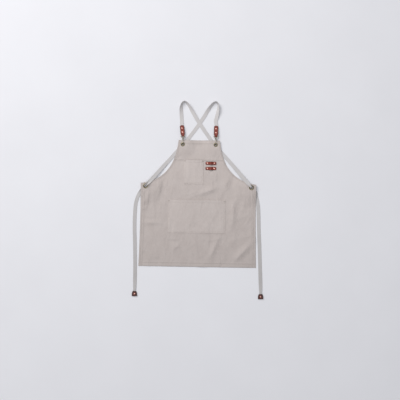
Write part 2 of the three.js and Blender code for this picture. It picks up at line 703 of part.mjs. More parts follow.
// Webbing carried along its route: the section is an arc of constant length, flat or rolled up
function strapGeometry(side) {
  const route = strapRoute(side);
  const path = new THREE.CatmullRomCurve3(route.map(({ place }) => place), false, "centripetal");
  const lean = route.map(({ bank, curl, width }) => new THREE.Vector3(bank, curl, width));
  const section = new THREE.CatmullRomCurve3(lean, false, "catmullrom", 0.4);
  const last = route.length - 1;
  const bent = ({ bank, curl }) => Math.abs(bank) > 30 || curl > 0;
  const stations = route.flatMap((row, i) => (bent(row) ? [i, i + 0.5] : [i])).map((i) => i / last);
  const across = evenly(-0.5, 0.5, STRAP_COLUMNS);
  const grids = { top: [], bottom: [] };
  for (const t of stations) {
    const middle = path.getPoint(t);
    const tangent = path.getTangent(t);
    const { x: bank, y: curl, z: width } = section.getPoint(t);
    const level = new THREE.Vector3().crossVectors(tangent, new THREE.Vector3(0, 0, 1)).normalize();
    const right = level.applyAxisAngle(tangent, degToRad(-bank));
    const out = new THREE.Vector3().crossVectors(right, tangent);
    const roll = Math.max(curl, 1e-5);
    const rowAt = (lift) =>
      across.map((share) => {
        const angle = share * width * roll;
        const radius = 1 / roll - lift;
        return middle
          .clone()
          .addScaledVector(right, Math.sin(angle) * radius)
          .addScaledVector(out, 1 / roll - Math.cos(angle) * radius);
      });
    grids.top.push(rowAt(WEBBING.thickness / 2));
    grids.bottom.push(rowAt(-WEBBING.thickness / 2));
  }
  const far = side === "left" ? "right" : "left";
  const drill = (frame, up) => rivetDrill(0, up).applyMatrix4(frame);
  const holes = Object.values(TAB_RIVETS).map((up) => drill(tabFrame(side), up));
  return cut(sheetSolid(grids.top, grids.bottom), [...holes, drill(tipFrame(far), TIP.rivetUp)]);
}

// Assembly
const apron = new THREE.Group();
apron.name = "canvas_apron";
apron.position.y = -MIDDLE_ABOVE_HEM;

apron.add(piece("apron_panel", panelGeometry(), canvasCloth()));
apron.add(piece("chest_pocket", pocketGeometry(CHEST_POCKET), canvasCloth()));
apron.add(piece("waist_pocket", pocketGeometry(WAIST_POCKET), canvasCloth()));

for (const [level, y] of Object.entries(LOOP_HEIGHTS)) {
  const place = new THREE.Group();
  place.position.set(LOOP.x, y, CANVAS + GAP);
  place.add(piece(`leather_loop_${level}`, loopGeometry(), brownLeather()));
  for (const [end, sign] of [["left", -1], ["right", 1]]) {
    const rivet = piece(`loop_rivet_${level}_${end}`, rivetGeometry(CANVAS + LEATHER + GAP), copperRivet());
    rivet.position.set((sign * LOOP.rivetSpread) / 2, 0, LEATHER + GAP);
    place.add(rivet);
  }
  apron.add(place);
}

for (const [side, { sign }] of Object.entries(SIDES)) {
  for (const [name, eyelet] of [["bib", BIB_EYELET], ["side", SIDE_EYELET]]) {
    const ring = piece(`${name}_eyelet_${side}`, eyeletGeometry(eyelet), agedBrass());
    ring.position.set(sign * eyelet.x, eyelet.y, eyelet.lift + SEAT.thickness / 2);
    apron.add(ring);
  }

  const hook = new THREE.Group();
  hook.position.set(sign * BIB_EYELET.x, BIB_EYELET.y, 0);
  hook.add(piece(`hook_body_${side}`, hookBodyGeometry(), agedBrass()));
  hook.add(piece(`hook_gate_${side}`, gateGeometry(), agedBrass()));
  hook.add(piece(`hook_eye_${side}`, eyeGeometry(), agedBrass()));
  apron.add(hook);

  apron.add(piece(`strap_${side}`, strapGeometry(side), cottonWebbing()));

  const stack = LEAF_MIDDLE + LEATHER;
  const tab = new THREE.Group();
  tab.applyMatrix4(tabFrame(side));
  tab.add(piece(`strap_tab_${side}`, tabGeometry(), brownLeather()));
  for (const [level, up] of Object.entries(TAB_RIVETS)) {
    const rivet = piece(`tab_rivet_${side}_${level}`, rivetGeometry(2 * stack + GAP), copperRivet());
    rivet.position.set(0, up, stack + GAP);
    tab.add(rivet);
  }
  apron.add(tab);

  const tip = new THREE.Group();
  tip.applyMatrix4(tipFrame(side));
  tip.add(piece(`tie_tip_${side}`, tipGeometry(), brownLeather()));
  const rivet = piece(`tip_rivet_${side}`, rivetGeometry(2 * stack + GAP), copperRivet());
  rivet.position.set(0, TIP.rivetUp, stack + GAP);
  tip.add(rivet);
  apron.add(tip);
}

export default apron;
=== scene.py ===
import bmesh
import bpy
import numpy as np
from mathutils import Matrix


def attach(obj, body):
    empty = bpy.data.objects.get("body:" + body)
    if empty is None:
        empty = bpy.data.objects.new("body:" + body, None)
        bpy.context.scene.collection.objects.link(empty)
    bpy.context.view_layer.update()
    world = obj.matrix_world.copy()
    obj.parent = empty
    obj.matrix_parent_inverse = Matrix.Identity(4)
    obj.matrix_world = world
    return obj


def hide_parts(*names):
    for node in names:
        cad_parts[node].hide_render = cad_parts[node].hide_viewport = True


# Canvas apron laid out flat and seen from above. Shapes are worked out in the apron's own layout:
# millimetres, x across, v up from the hem and z up from the table. put() turns that into metres.
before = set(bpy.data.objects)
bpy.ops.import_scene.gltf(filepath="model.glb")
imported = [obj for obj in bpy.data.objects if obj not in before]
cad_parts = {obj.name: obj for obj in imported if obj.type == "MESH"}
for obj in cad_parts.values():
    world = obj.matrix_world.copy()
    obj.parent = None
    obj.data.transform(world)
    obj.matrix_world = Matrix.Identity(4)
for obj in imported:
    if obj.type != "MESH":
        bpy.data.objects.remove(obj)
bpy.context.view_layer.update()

MM = 0.001
MIDDLE_ABOVE_HEM = 400.0

# Canvas panel
LENGTH = 753.0
HEM_WIDTH = 700.0
WAIST_WIDTH = 686.0
SIDE_BOW = 2.5
BIB_WIDTH = 246.0
ARMHOLE = {"depth": 259.0, "pull_half": 145.0, "pull_depth": 232.0}
CORNER_V = LENGTH - ARMHOLE["depth"]
CANVAS = 1.2
HEM = {"bottom": 24.0, "top": 22.0, "side": 22.0, "armhole": 9.0, "extra": 1.0, "ramp": 4.0}
BIB_SEAM = {"low": 630.0, "high": 640.0, "rows": (632.0, 638.0), "extra": 0.55, "ramp": 1.2}
GAP = 0.3

# Rows of stitches, measured in from each edge, the groove that they leave, and the widths of the darker line
# along them and along the edges, partly the seams' own tone and partly painted shade
SEAM_LINES = {"bottom": (21.2,), "top": (19.6,), "side": (10.5, 21.2), "armhole": (7.0,)}
SEAM_GROOVE = {"depth": 0.6, "width": 1.6}
SEAM_SHADE = {"line": 2.0, "edge": 3.0}
STITCH = {"pitch": 3.6, "length": 2.7, "width": 0.85, "height": 0.5, "raised": 0.1, "slope_step": 0.8}

# Grid of the panel: places close together in from each edge, and how many lie evenly between them
PANEL_CLOSE = np.array([0, 0.35, 0.9, 1.6, 3.5, 7, 9, 10.5, 12, 15, 18, 19.6, 21.2, 22.8, 25, 29.5])
PANEL_GRID = {"step": 4.0, "skirt": 112, "armhole": 84, "armhole_from": 33.0, "columns": 148}

# Eyelets and the lifted seats that they are pressed on
BIB_EYELET = {"x": 98.0, "v": LENGTH - 25.0, "hole": 6.5, "flange": 12.5, "lift": 8.0, "reach": 90.0}
SIDE_EYELET = {"x": 315.0, "v": 477.0, "hole": 9.0, "flange": 15.0, "lift": 12.5, "reach": 120.0}
SEAT = {"thickness": 1.8, "flat": 26.0, "hole_clear": 0.6}
SEATS = [(eyelet, sign) for eyelet in (BIB_EYELET, SIDE_EYELET) for sign in (-1.0, 1.0)]
EYELET_ROLL = {
    "front": 1.35, "front_power": 0.8, "back": 1.0, "back_power": 0.6, "clear": 0.05, "barrel": 0.8,
}

# Pockets: middle of the bottom edge, size, and how far the mouth stands open
WAIST_POCKET = {"x": -9.0, "v": 201.0, "width": 342.0, "height": 197.0, "gape": 8.0}
CHEST_POCKET = {"x": -30.5, "v": 493.0, "width": 117.0, "height": 144.0, "gape": 7.0}
POCKET_MARGIN = {"flat": 10.0, "ramp": 22.0}
POCKET_HEM = {"sides": 11.0, "mouth": 20.0, "ramp": 3.0, "extra": 0.25, "above_canvas": 0.1}
POCKET_ROWS = {"sewn": (2.6, 8.6), "mouth": 17.5}
POCKET_CLOSE = np.array([0, 0.35, 0.9, 1.7, 2.6, 3.5, 5.5, 7.6, 8.6, 9.6, 11.5, 14, 16, 17.5, 19, 21.5])
POCKET_EVEN_FROM = 24.0
BAR_TACK = {"stitches": 9, "step": 0.9, "width": 6.6, "length": 6.8, "below_mouth": 3.0, "inset": 2.2}

# Webbing and leather
WEBBING = {"width": 22.0, "thickness": 1.6}
LEATHER = 2.0
LEAF_MIDDLE = WEBBING["thickness"] / 2 + GAP
STRAP_RINGS = 460
LOOP = {
    "x": 71.5, "length": 64.0, "width": 19.0, "spread": 41.0, "arch": 6.5, "arch_half": 16.0, "round": 6.0,
    "above_canvas": 0.05,
}
LOOP_HEIGHTS = {"upper": 618.0, "lower": 587.0}
TAB = {
    "length": 62.0, "width": 25.0, "neck": 17.0, "neck_length": 9.0, "round": 9.0, "loop": 3.4, "top": 3.4,
    "shoulder": 8.8, "webbing_at": (12.0, 28.0, 44.0),
}
TAB_RIVETS = {"upper": 44.0, "lower": 20.0}
TIP = {
    "length": 27.0, "top": 19.0, "bottom": 31.0, "rivet": 11.0, "webbing": 16.0, "shoulder": 2.0,
    "curve_from": 0.2, "curve_pull": 0.75, "webbing_at": (35.0, 25.0, 3.0),
}
RIVET_CAP = {"radius": 4.2, "height": 1.7, "rim": 0.45, "dome_inset": 0.75, "dome_from": 0.85}
RIVET_SHANK = {"radius": 1.4, "depth": 1.0}

# Snap hook, measured up from its eyelet. The gate closes the upper limb of its bow
HOOK = {
    "width": 5.0, "wire": 4.0, "clear": 10.0, "middle": 11.2, "bow": 8.8, "top": 26.0, "nose": 13.0,
    "corner": 1.5, "nose_share": 0.82,
}
HOOK_RADIUS = (HOOK["clear"] + HOOK["wire"]) / 2
LIMB = HOOK["middle"] + HOOK_RADIUS
PIVOT = 27.0
CHEEK = {"radius": 2.0, "past_pivot": 1.3, "from": 24.2, "thickness": 1.05, "bevel": 0.25, "offset": 1.97}
GATE = {"toe": 13.4, "waist": 20.0, "half": 1.5, "thickness": 2.2, "bevel": 0.3}
COLLAR = {"radius": 4.2, "to": 39.5}
EYE = {
    "bar": 52.0, "half": 13.0, "wall": 3.4, "thickness": 3.0, "above_collar": 0.6, "knee": 3.5,
    "corner": 2.2,
}

# Outlines of the hook's small parts. Pin and shank: radius, place along. Collar: distance in from its
# radius, place along. Thumb piece of the gate: place along, height above the limb
PIN = np.array([(0, -2.75), (0.75, -2.75), (0.9, -2.6), (0.9, 2.6), (0.75, 2.75), (0, 2.75)])
SHANK = np.array([
    (0, 27.3), (2.4, 27.3), (2.8, 27.8), (2.8, 28.9), (1.9, 29.3), (1.9, 40.0), (2.9, 40.1), (2.9, 41.2),
    (1.5, 42.4), (0, 42.4),
])
COLLAR_RING = np.array([
    (2.0, 32.0), (0.9, 32.0), (0, 33.6), (0, 34.6), (0.5, 35.2), (0.5, 36.8), (0, 37.4), (0, 38.6),
    (0.8, COLLAR["to"]), (2.0, COLLAR["to"]),
])
THUMB = np.array([
    (21.6, 1.5), (20.6, 2.0), (19.4, 3.2), (16.4, 3.2), (15.4, 2.0), (14.6, 1.5), (13.4, 1.5),
])

SIDES = {
    "left": {"sign": -1.0, "turn": -7.0, "tie_end": (-370.5, -177.0)},
    "right": {"sign": 1.0, "turn": 1.0, "tie_end": (381.0, -182.5)},
}
FAR_SIDE = {"left": "right", "right": "left"}

# Folds of the canvas: x0, v0, x1, v1, height, half width
FOLDS = np.array([
    (-296, 446, -332, 352, 7, 34),
    (-226, 512, -262, 430, 5, 32),
    (118, 476, 2, 428, 5, 28),
    (218, 412, 204, 214, 5, 36),
    (122, 172, 74, 44, 6, 34),
    (322, 150, 216, 30, 8, 38),
    (-334, 258, -214, 258, 4, 28),
    (182, 538, 158, 470, 4, 30),
], dtype=float)

# Share of each fold that is round, while the rest is a crease along it
FOLD_SHARE = 0.5
FOLD_FLANKS = {"steep": 9.0, "gentle": 20.0}
FOLD_ENDS = (0.12, 0.88)

# Creases pulled into the canvas below the side eyelets: run, height, steep and gentle flank, bow
PULL_CREASES = [
    ((-292, 470, -318, 290), 2.4, 5.5, 15.0, 4.0),
    ((-218, 530, -254, 380), 2.2, 6.0, 16.0, 5.0),
    ((-266, 476, -258, 300), 1.6, 6.0, 17.0, -5.0),
    ((300, 462, 314, 310), 1.8, 5.5, 13.0, -4.0),
    ((276, 468, 270, 330), 1.6, 5.5, 14.0, 4.0),
    ((322, 444, 330, 330), 1.4, 5.0, 11.0, 2.0),
    ((232, 522, 264, 400), 1.8, 6.0, 16.0, -5.0),
]
PULL_FADE = 24.0

# Small creases: how many, where, their headings with the share of each, and the ranges of their sizes
SMALL_CREASE = {
    "count": 150, "low": (-330, 15), "high": (330, 640), "headings": [70, 112, 160, 22],
    "shares": [0.36, 0.34, 0.15, 0.15], "heading_spread": 16, "reach": (16, 52), "height": (0.5, 1.7),
    "steep": (5, 8), "gentle": (10, 22), "bow_spread": 4,
}
ON_POCKET = {"chest": 0.3, "waist": 0.6}
AWAY_FROM_WINDOW = (0.66, -0.75)

# Low waves in the canvas as heading, length, start and height, held flat at its edges
WAVE_LOW, WAVE_HIGH = (0, 55, 0, 0.1), (np.pi, 190, 2 * np.pi, 0.22)
WAVES = np.random.default_rng(11).uniform(WAVE_LOW, WAVE_HIGH, (18, 4))
CALM = {"share": 0.35, "reach": 60.0}

# Skirt edges that lift off the table: how high, how far in and up, and two waves as slant, length and start
HEM_LIFT = {"height": 2.4, "reach": 75.0, "up_to": 330.0, "fade": 60.0}
HEM_WAVES = ((1.3, 210.0, 0.6), (-0.7, 390.0, 1.1))

# Where the straps run under the bib: x0, v0, x1, v1
UNDER_RUNS = np.array([(-62, 768, -160, 652), (60, 768, 160, 652)], dtype=float)
RIDGE = {"height": 2.05, "flat": 15.0, "reach": 34.0}

# Strap routes from tab to far side eyelet: x, v, height of the lowest edge, bank in degrees
SHOULDER_RUNS = {
    "left": np.array([
        (-106, 866, 0.2, -1), (-108, 892, 0.3, -4), (-110, 918, 0.3, -12), (-111, 944, 0.2, -32),
        (-107, 967, 0.2, -60), (-95, 981, 0.2, -68), (-79, 975, 0.2, -62), (-63, 955, 0.3, -48),
        (-43, 922, 0.4, -20), (-20, 885, 2, -2), (0, 854, 2.3, 0), (26, 816, 1.4, 0), (52, 780, 0.1, 0),
        (73, 750, 0.1, 0), (102, 716, 0.1, 0), (135, 680, 0.1, 0), (172, 640, 0.8, 0), (200, 609, 2.8, 0),
        (227, 578, 5.6, 0), (255, 546, 9, 0),
    ], dtype=float),
    "right": np.array([
        (96, 870, 0.2, 4), (102, 898, 0.3, 14), (107, 926, 0.3, 36), (110, 950, 0.2, 58),
        (108, 970, 0.2, 70), (97, 982, 0.2, 72), (82, 976, 0.2, 60), (67, 959, 0.3, 42),
        (50, 935, 0.3, 20), (28, 897, 0.2, 4), (0, 854, 0.1, 0), (-26, 816, 0.1, 0), (-53, 780, 0.1, 0),
        (-76, 750, 0.1, 0), (-104, 718, 0.1, 0), (-138, 679, 0.1, 0), (-174, 637, 0.8, 0),
        (-202, 606, 2.8, 0), (-228, 576, 5.6, 0), (-255, 545, 9, 0),
    ], dtype=float),
}

# Dip of the webbing through a side eyelet: distance along, height of its middle, curl (1 over radius)
EYELET_DIP = np.array([
    (-46, 14.4, 0.02), (-28, 16.2, 0.09), (-15, 17.6, 0.17), (-8.4, 17.4, 0.2), (-4, 14, 0.2),
    (-1.2, 9, 0.19), (2.8, 4.6, 0.165), (9, 1.9, 0.12), (20, 1, 0.085), (36, 0.9, 0.05),
], dtype=float)
DIP_SHIFT = 2.2

# Free ends of the straps, from under the side edge down to the tip: x, v
TIE_RUNS = {
    "left": np.array([
        (-352, 430), (-364, 402), (-372, 368), (-376, 318), (-377, 240), (-372.5, 120), (-369.5, 0),
        (-369, -88),
    ], dtype=float),
    "right": np.array([
        (343, 428), (351, 400), (356.5, 366), (360, 316), (363, 232), (369.5, 112), (375, -8), (379, -96),
    ], dtype=float),
}
TIE_RISE = 0.1

# Cloth: shares of its tone, where the weave's height makes raised threads paler and the gaps between them
# darker as painted shade, how dark seams and edges get, partly their own tone and partly painted shade, and
# the sizes of mottle and crumple in metres
CLOTH_TONE = {"slub": 0.5, "mottle": 0.22, "height": 0.34, "seam": 0.86}
CLOTH_SIZES = {"mottle": 0.06, "crumple": 0.075, "weave_relief": 0.0003}

# Table, lights and camera, in metres
TABLE = {"reach": 30.0, "drop": 0.0003}
WINDOW = {"place": (-3.4, 4.0, 4.4), "size": 4.0, "power": 310.0, "colour": (1.0, 0.99, 0.98)}
CEILING = {"place": (0.0, 0.0, 6.6), "size": 5.0, "power": 130.0, "colour": (1.0, 1.0, 1.0)}
ROOM = {"colour": (0.86, 0.88, 0.93, 1.0), "strength": 0.35}
VIEW = {"height": 6.0, "width": 2.382, "middle": (0.0102, -0.0016), "lean": 1.0, "sensor": 36.0}


# Arithmetic
def smooth(t):
    """Smoothstep of t, held between 0 and 1."""
    t = np.clip(t, 0.0, 1.0)
    return t * t * (3.0 - 2.0 * t)


def unit(vectors):
    """Vectors of length one along the last axis."""
    return vectors / np.linalg.norm(vectors, axis=-1, keepdims=True)


def catmull(knots, t, centripetal=True, tension=0.4):
    """Catmull-Rom curve through the knots at t in 0..1: on each span a cubic whose end slopes come from
    the neighbouring knots, spaced by the square root of their distance when centripetal."""
    spans = len(knots) - 1
    ends = np.vstack([2 * knots[0] - knots[1], knots, 2 * knots[-1] - knots[-2]])
    at = np.clip(np.asarray(t) * spans, 0, spans)
    i = np.minimum(at.astype(int), spans - 1)
    w = (at - i)[:, None]
    p0, p1, p2, p3 = ends[i], ends[i + 1], ends[i + 2], ends[i + 3]
    if centripetal:
        spans_around = ((p0, p1), (p1, p2), (p2, p3))
        d0, d1, d2 = (np.sqrt(np.linalg.norm(b - a, axis=1))[:, None] for a, b in spans_around)
        s1 = ((p1 - p0) / d0 - (p2 - p0) / (d0 + d1) + (p2 - p1) / d1) * d1
        s2 = ((p2 - p1) / d1 - (p3 - p1) / (d1 + d2) + (p3 - p2) / d2) * d1
    else:
        s1, s2 = tension * (p2 - p0), tension * (p3 - p1)
    return p1 + s1 * w + (3 * (p2 - p1) - 2 * s1 - s2) * w**2 + (2 * (p1 - p2) + s1 + s2) * w**3


def arc(x, y, radius, angles):
    """Points on a circle about x, y at the given angles."""
    return np.column_stack([x + radius * np.cos(angles), y + radius * np.sin(angles)])


def running_length(path):
    """Distance along a path of points at each of them, from 0."""
    return np.concatenate([[0], np.cumsum(np.linalg.norm(np.diff(path, axis=0), axis=1))])


# Meshes
def put(points):
    """Layout millimetres into metres of the frame, whose origin is the middle of the layout."""
    return (np.asarray(points, dtype=float) - (0.0, MIDDLE_ABOVE_HEM, 0.0)) * MM


def grid_quads(rows, columns, around=False, along=False):
    """Quads between neighbouring points of a grid, closed across the columns or along the rows if asked."""
    r = np.arange(rows if along else rows - 1)[:, None]
    c = np.arange(columns if around else columns - 1)[None, :]
    r1, c1 = (r + 1) % rows, (c + 1) % columns
    corners = [r * columns + c, r * columns + c1, r1 * columns + c1, r1 * columns + c]
    return np.stack(np.broadcast_arrays(*corners), axis=-1).reshape(-1, 4)


def end_caps(count, ring):
    """Flat faces over the first and the last of a count of rings."""
    return [list(range(ring))[::-1], list(range((count - 1) * ring, count * ring))]


def closed_sheet(x, v, top, bottom, kept=None):
    """Closed skin of two heights over one grid: the top, the bottom turned over, and a wall down each free
    edge."""
    top, bottom = np.stack([x, v, top], axis=-1), np.stack([x, v, bottom], axis=-1)
    rows, columns = top.shape[:2]
    under = rows * columns
    quads = grid_quads(rows, columns)
    if kept is not None:
        quads = quads[kept.ravel()]
    edges = np.concatenate([quads[:, [k, (k + 1) % 4]] for k in range(4)])
    free = edges[~np.isin(edges[:, 0] * under + edges[:, 1], edges[:, 1] * under + edges[:, 0])]
    walls = np.stack([free[:, 1], free[:, 0], free[:, 0] + under, free[:, 1] + under], axis=1)
    points = np.concatenate([top.reshape(-1, 3), bottom.reshape(-1, 3)])
    return points, np.concatenate([quads, quads[:, ::-1] + under, walls])


def carried(profile, path, side, out, widths=None, closed=False):
    """A closed profile carried along a path: each ring is path + side * first + out * second, with the
    first scaled by widths. Open paths get a flat cap at both ends."""
    count, ring = len(path), len(profile)
    scale = np.ones(count) if widths is None else np.asarray(widths)
    rings = (path[:, None] + side[:, None] * (profile[None, :, 0] * scale[:, None])[..., None]
             + out[:, None] * profile[None, :, 1, None])
    faces = grid_quads(count, ring, around=True, along=closed).tolist()
    if not closed:
        faces += end_caps(count, ring)
    return rings.reshape(-1, 3), faces


def turned(profile, segments, closed=False):
    """A profile of radius and height spun about Z. A closed profile gives a ring."""
    angle = np.linspace(0, 2 * np.pi, segments, endpoint=False)
    radius, height = profile[:, 0], profile[:, 1]
    rings = np.stack([radius[:, None] * np.cos(angle), radius[:, None] * np.sin(angle),
                      np.repeat(height[:, None], segments, axis=1)], axis=-1)
    return rings.reshape(-1, 3), grid_quads(len(profile), segments, around=True, along=closed).tolist()


def slab(outline, thickness, bevel):
    """A flat outline given a thickness along the first axis, with its edges bevelled: four rings, the outer
    two drawn in along the outline's normals."""
    ahead = unit(np.roll(outline, -1, axis=0) - np.roll(outline, 1, axis=0))
    inward = np.stack([-ahead[:, 1], ahead[:, 0]], axis=1)
    half, count = thickness / 2, len(outline)
    steps = ((-half, bevel), (bevel - half, 0.0), (half - bevel, 0.0), (half, bevel))
    rings = np.stack([np.column_stack([np.full(count, x), outline + inward * inset]) for x, inset in steps])
    return rings.reshape(-1, 3), grid_quads(4, count, around=True).tolist() + end_caps(4, count)


def together(*parts):
    """Several point and face lists as one."""
    points, faces, start = [], [], 0
    for some_points, some_faces in parts:
        points.append(some_points)
        faces += [[start + k for k in face] for face in some_faces]
        start += len(some_points)
    return np.concatenate(points), faces


def rounded_bar(width, thickness, corner, steps=4):
    """Outline of a bar's section: a rectangle with quarter circles at its corners."""
    quarter = arc(0.0, 0.0, corner, np.linspace(0, np.pi / 2, steps))
    turns = [np.array([[np.cos(a), np.sin(a)], [-np.sin(a), np.cos(a)]]) for a in np.arange(4) * np.pi / 2]
    corners = np.array([(1, 1), (-1, 1), (-1, -1), (1, -1)]) * (width / 2 - corner, thickness / 2 - corner)
    return np.concatenate([quarter @ turn + place for turn, place in zip(turns, corners)])


def strip_section(thickness, flat, columns):
    """Section of a strip of unit width: two faces, flat to a share either side, and half ellipses round its
    edges."""
    half = thickness / 2
    share = np.linspace(-flat, flat, columns)
    edge = np.linspace(-np.pi / 2, np.pi / 2, 7)[1:-1]
    rim = np.stack([flat + (0.5 - flat) * np.cos(edge), half * np.sin(edge)], axis=1)
    return np.concatenate([np.stack([share, np.full(columns, -half)], axis=1), rim,
                           np.stack([share[::-1], np.full(columns, half)], axis=1), -rim])


def make_piece(name, points, faces, material, slot, node=None, body="apron", crisp=50.0, **marks):
    """A mesh piece in the frame: doubles merged, faces outwards, smooth with crisp edges past an angle.
    Marks are values per point that its material reads."""
    mesh = bpy.data.meshes.new(name)
    mesh.from_pydata(put(points).tolist(), [], faces if isinstance(faces, list) else faces.tolist())
    for mark, values in marks.items():
        values = np.asarray(values, dtype=np.float32)
        kind, field = ("FLOAT_VECTOR", "vector") if values.ndim == 2 else ("FLOAT", "value")
        mesh.attributes.new(mark, kind, "POINT").data.foreach_set(field, values.ravel())
    shell = bmesh.new()
    shell.from_mesh(mesh)
    loose = [vert for vert in shell.verts if not vert.link_faces]
    bmesh.ops.delete(shell, geom=loose, context="VERTS")
    bmesh.ops.remove_doubles(shell, verts=shell.verts, dist=1e-7)
    bmesh.ops.recalc_face_normals(shell, faces=shell.faces)
    shell.to_mesh(mesh)
    shell.free()
    mesh.polygons.foreach_set("use_smooth", np.ones(len(mesh.polygons), dtype=bool))
    mesh.set_sharp_from_angle(angle=np.radians(crisp))
    mesh.materials.append(material)
    piece = bpy.data.objects.new(name, mesh)
    bpy.context.scene.collection.objects.link(piece)
    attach(piece, body)
    if node:
        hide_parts(node)
    return piece


# Materials
def add_node(tree, kind, inputs=None, **settings):
    """A node with its settings, and its inputs linked or set."""
    made = tree.nodes.new(kind)
    for key, value in settings.items():
        setattr(made, key, value)
    for key, value in (inputs or {}).items():
        if isinstance(value, bpy.types.NodeSocket):
            tree.links.new(value, made.inputs[key])
        else:
            made.inputs[key].default_value = value
    return made


def sums(tree, operation, first, second=0.0, third=0.0):
    """Result of one arithmetic step."""
    return add_node(tree, "ShaderNodeMath", {0: first, 1: second, 2: third}, operation=operation).outputs[0]


def blend_colour(tree, share, first, second):
    """Colour between two colours."""
    return add_node(tree, "ShaderNodeMix", {0: share, 6: first, 7: second}, data_type="RGBA").outputs[2]


def start_group(name, inputs, outputs):
    """An empty node group with named sockets."""
    group = bpy.data.node_groups.new(name, "ShaderNodeTree")
    for label, kind, value in inputs:
        socket = group.interface.new_socket(label, in_out="INPUT", socket_type=kind)
        if value is not None:
            socket.default_value = value
    for label, kind in outputs:
        group.interface.new_socket(label, in_out="OUTPUT", socket_type=kind)
    return group, group.nodes.new("NodeGroupInput"), group.nodes.new("NodeGroupOutput")


def linear(red, green, blue):
    """A display colour of 0..255 as the linear colour that a shader takes."""
    c = np.array([red, green, blue]) / 255.0
    c = np.where(c <= 0.04045, c / 12.92, ((c + 0.055) / 1.055) ** 2.4)
    return (*c.tolist(), 1.0)


def plain_weave_group():
    """Over-and-under threads: each thread is a rounded ridge, and which of the two lies on top changes from
    cell to cell with the sign of the product of two sines. Slub is the uneven thickness of threads."""
    group, given, result = start_group(
        "plain_weave",
        [("Vector", "NodeSocketVector", None), ("Pitch", "NodeSocketFloat", 0.001)],
        [("Height", "NodeSocketFloat"), ("Slub", "NodeSocketFloat")],
    )
    rate = sums(group, "DIVIDE", 1.0, given.outputs["Pitch"])
    cells = add_node(group, "ShaderNodeVectorMath", {0: given.outputs["Vector"], "Scale": rate},
                     operation="SCALE")
    split = add_node(group, "ShaderNodeSeparateXYZ", {0: cells.outputs[0]})
    wave_x = sums(group, "SINE", sums(group, "MULTIPLY", split.outputs[0], np.pi))
    wave_y = sums(group, "SINE", sums(group, "MULTIPLY", split.outputs[1], np.pi))
    over = sums(group, "GREATER_THAN", sums(group, "MULTIPLY", wave_x, wave_y), 0.0)
    ridge_x, ridge_y = sums(group, "ABSOLUTE", wave_x), sums(group, "ABSOLUTE", wave_y)
    bend_x, bend_y = (sums(group, "MULTIPLY_ADD", ridge, 0.4, 0.6) for ridge in (ridge_x, ridge_y))
    warp, weft = sums(group, "MULTIPLY", ridge_x, bend_y), sums(group, "MULTIPLY", ridge_y, bend_x)
    height = add_node(group, "ShaderNodeMix", {0: over, 2: weft, 3: warp})
    slubs = []
    for stretch in ((0.9, 0.05, 1.0), (0.05, 0.9, 1.0)):
        along = add_node(group, "ShaderNodeMapping", {"Vector": cells.outputs[0], "Scale": stretch})
        slubs.append(add_node(group, "ShaderNodeTexNoise",
                              {"Vector": along.outputs[0], "Scale": 1.0, "Detail": 2.0}))
    slub = add_node(group, "ShaderNodeMix", {0: over, 2: slubs[1].outputs[0], 3: slubs[0].outputs[0]})
    group.links.new(height.outputs[0], result.inputs["Height"])
    group.links.new(slub.outputs[0], result.inputs["Slub"])
    return group


def mottle_group():
    """Slow changes of tone over a surface: noise at one size, drawn apart around its middle."""
    group, given, result = start_group(
        "mottle",
        [("Vector", "NodeSocketVector", None), ("Size", "NodeSocketFloat", 0.05)],
        [("Tone", "NodeSocketFloat")],
    )
    rate = sums(group, "DIVIDE", 1.0, given.outputs["Size"])
    noise = add_node(group, "ShaderNodeTexNoise",
                     {"Vector": given.outputs["Vector"], "Scale": rate, "Detail": 4.0, "Roughness": 0.55})
    tone = add_node(group, "ShaderNodeMapRange", {0: noise.outputs[0], 1: 0.3, 2: 0.7, 3: 0.0, 4: 1.0})
    group.links.new(tone.outputs[0], result.inputs["Tone"])
    return group


def crumple_group():
    """Creases left by handling: thin ridges where a slow noise crosses its middle, at two sizes and
    slants."""
    group, given, result = start_group(
        "crumple",
        [("Vector", "NodeSocketVector", None), ("Size", "NodeSocketFloat", 0.06)],
        [("Height", "NodeSocketFloat")],
    )
    rate = sums(group, "DIVIDE", 1.0, given.outputs["Size"])
    layers = []
    slants = ((0.5, (1.0, 0.4, 1.0), 1.0, 1.0), (-0.7, (1.0, 0.5, 1.0), 2.3, 0.45))
    for turn, stretch, finer, share in slants:
        slanted = add_node(group, "ShaderNodeMapping", {"Vector": given.outputs["Vector"], "Scale": stretch,
                                                        "Rotation": (0.0, 0.0, turn)})
        noise = add_node(group, "ShaderNodeTexNoise",
                         {"Vector": slanted.outputs[0], "Detail": 2.0, "Distortion": 0.5,
                          "Scale": sums(group, "MULTIPLY", rate, finer)})
        off_middle = sums(group, "ABSOLUTE", sums(group, "SUBTRACT", noise.outputs[0], 0.5))
        ridge = add_node(group, "ShaderNodeMapRange", {0: off_middle, 1: 0.0, 2: 0.16, 3: share, 4: 0.0},
                         interpolation_type="SMOOTHSTEP")
        layers.append(ridge.outputs[0])
    group.links.new(sums(group, "ADD", *layers), result.inputs["Height"])
    return group


def leather_grain_group():
    """Pebbled grain: rounded cells with creases between them, and finer pores inside."""
    group, given, result = start_group(
        "leather_grain",
        [("Vector", "NodeSocketVector", None), ("Size", "NodeSocketFloat", 0.0012)],
        [("Height", "NodeSocketFloat"), ("Crease", "NodeSocketFloat")],
    )
    rate = sums(group, "DIVIDE", 1.0, given.outputs["Size"])
    cells = add_node(group, "ShaderNodeTexVoronoi", {"Vector": given.outputs["Vector"], "Scale": rate},
                     feature="DISTANCE_TO_EDGE")
    crease = add_node(group, "ShaderNodeMapRange", {0: cells.outputs[0], 1: 0.0, 2: 0.25, 3: 1.0, 4: 0.0})
    finer = sums(group, "MULTIPLY", rate, 3.0)
    pores = add_node(group, "ShaderNodeTexNoise",
                     {"Vector": given.outputs["Vector"], "Scale": finer, "Detail": 3.0})
    height = sums(group, "SUBTRACT", sums(group, "MULTIPLY", pores.outputs[0], 0.5), crease.outputs[0])
    group.links.new(height, result.inputs["Height"])
    group.links.new(crease.outputs[0], result.inputs["Crease"])
    return group


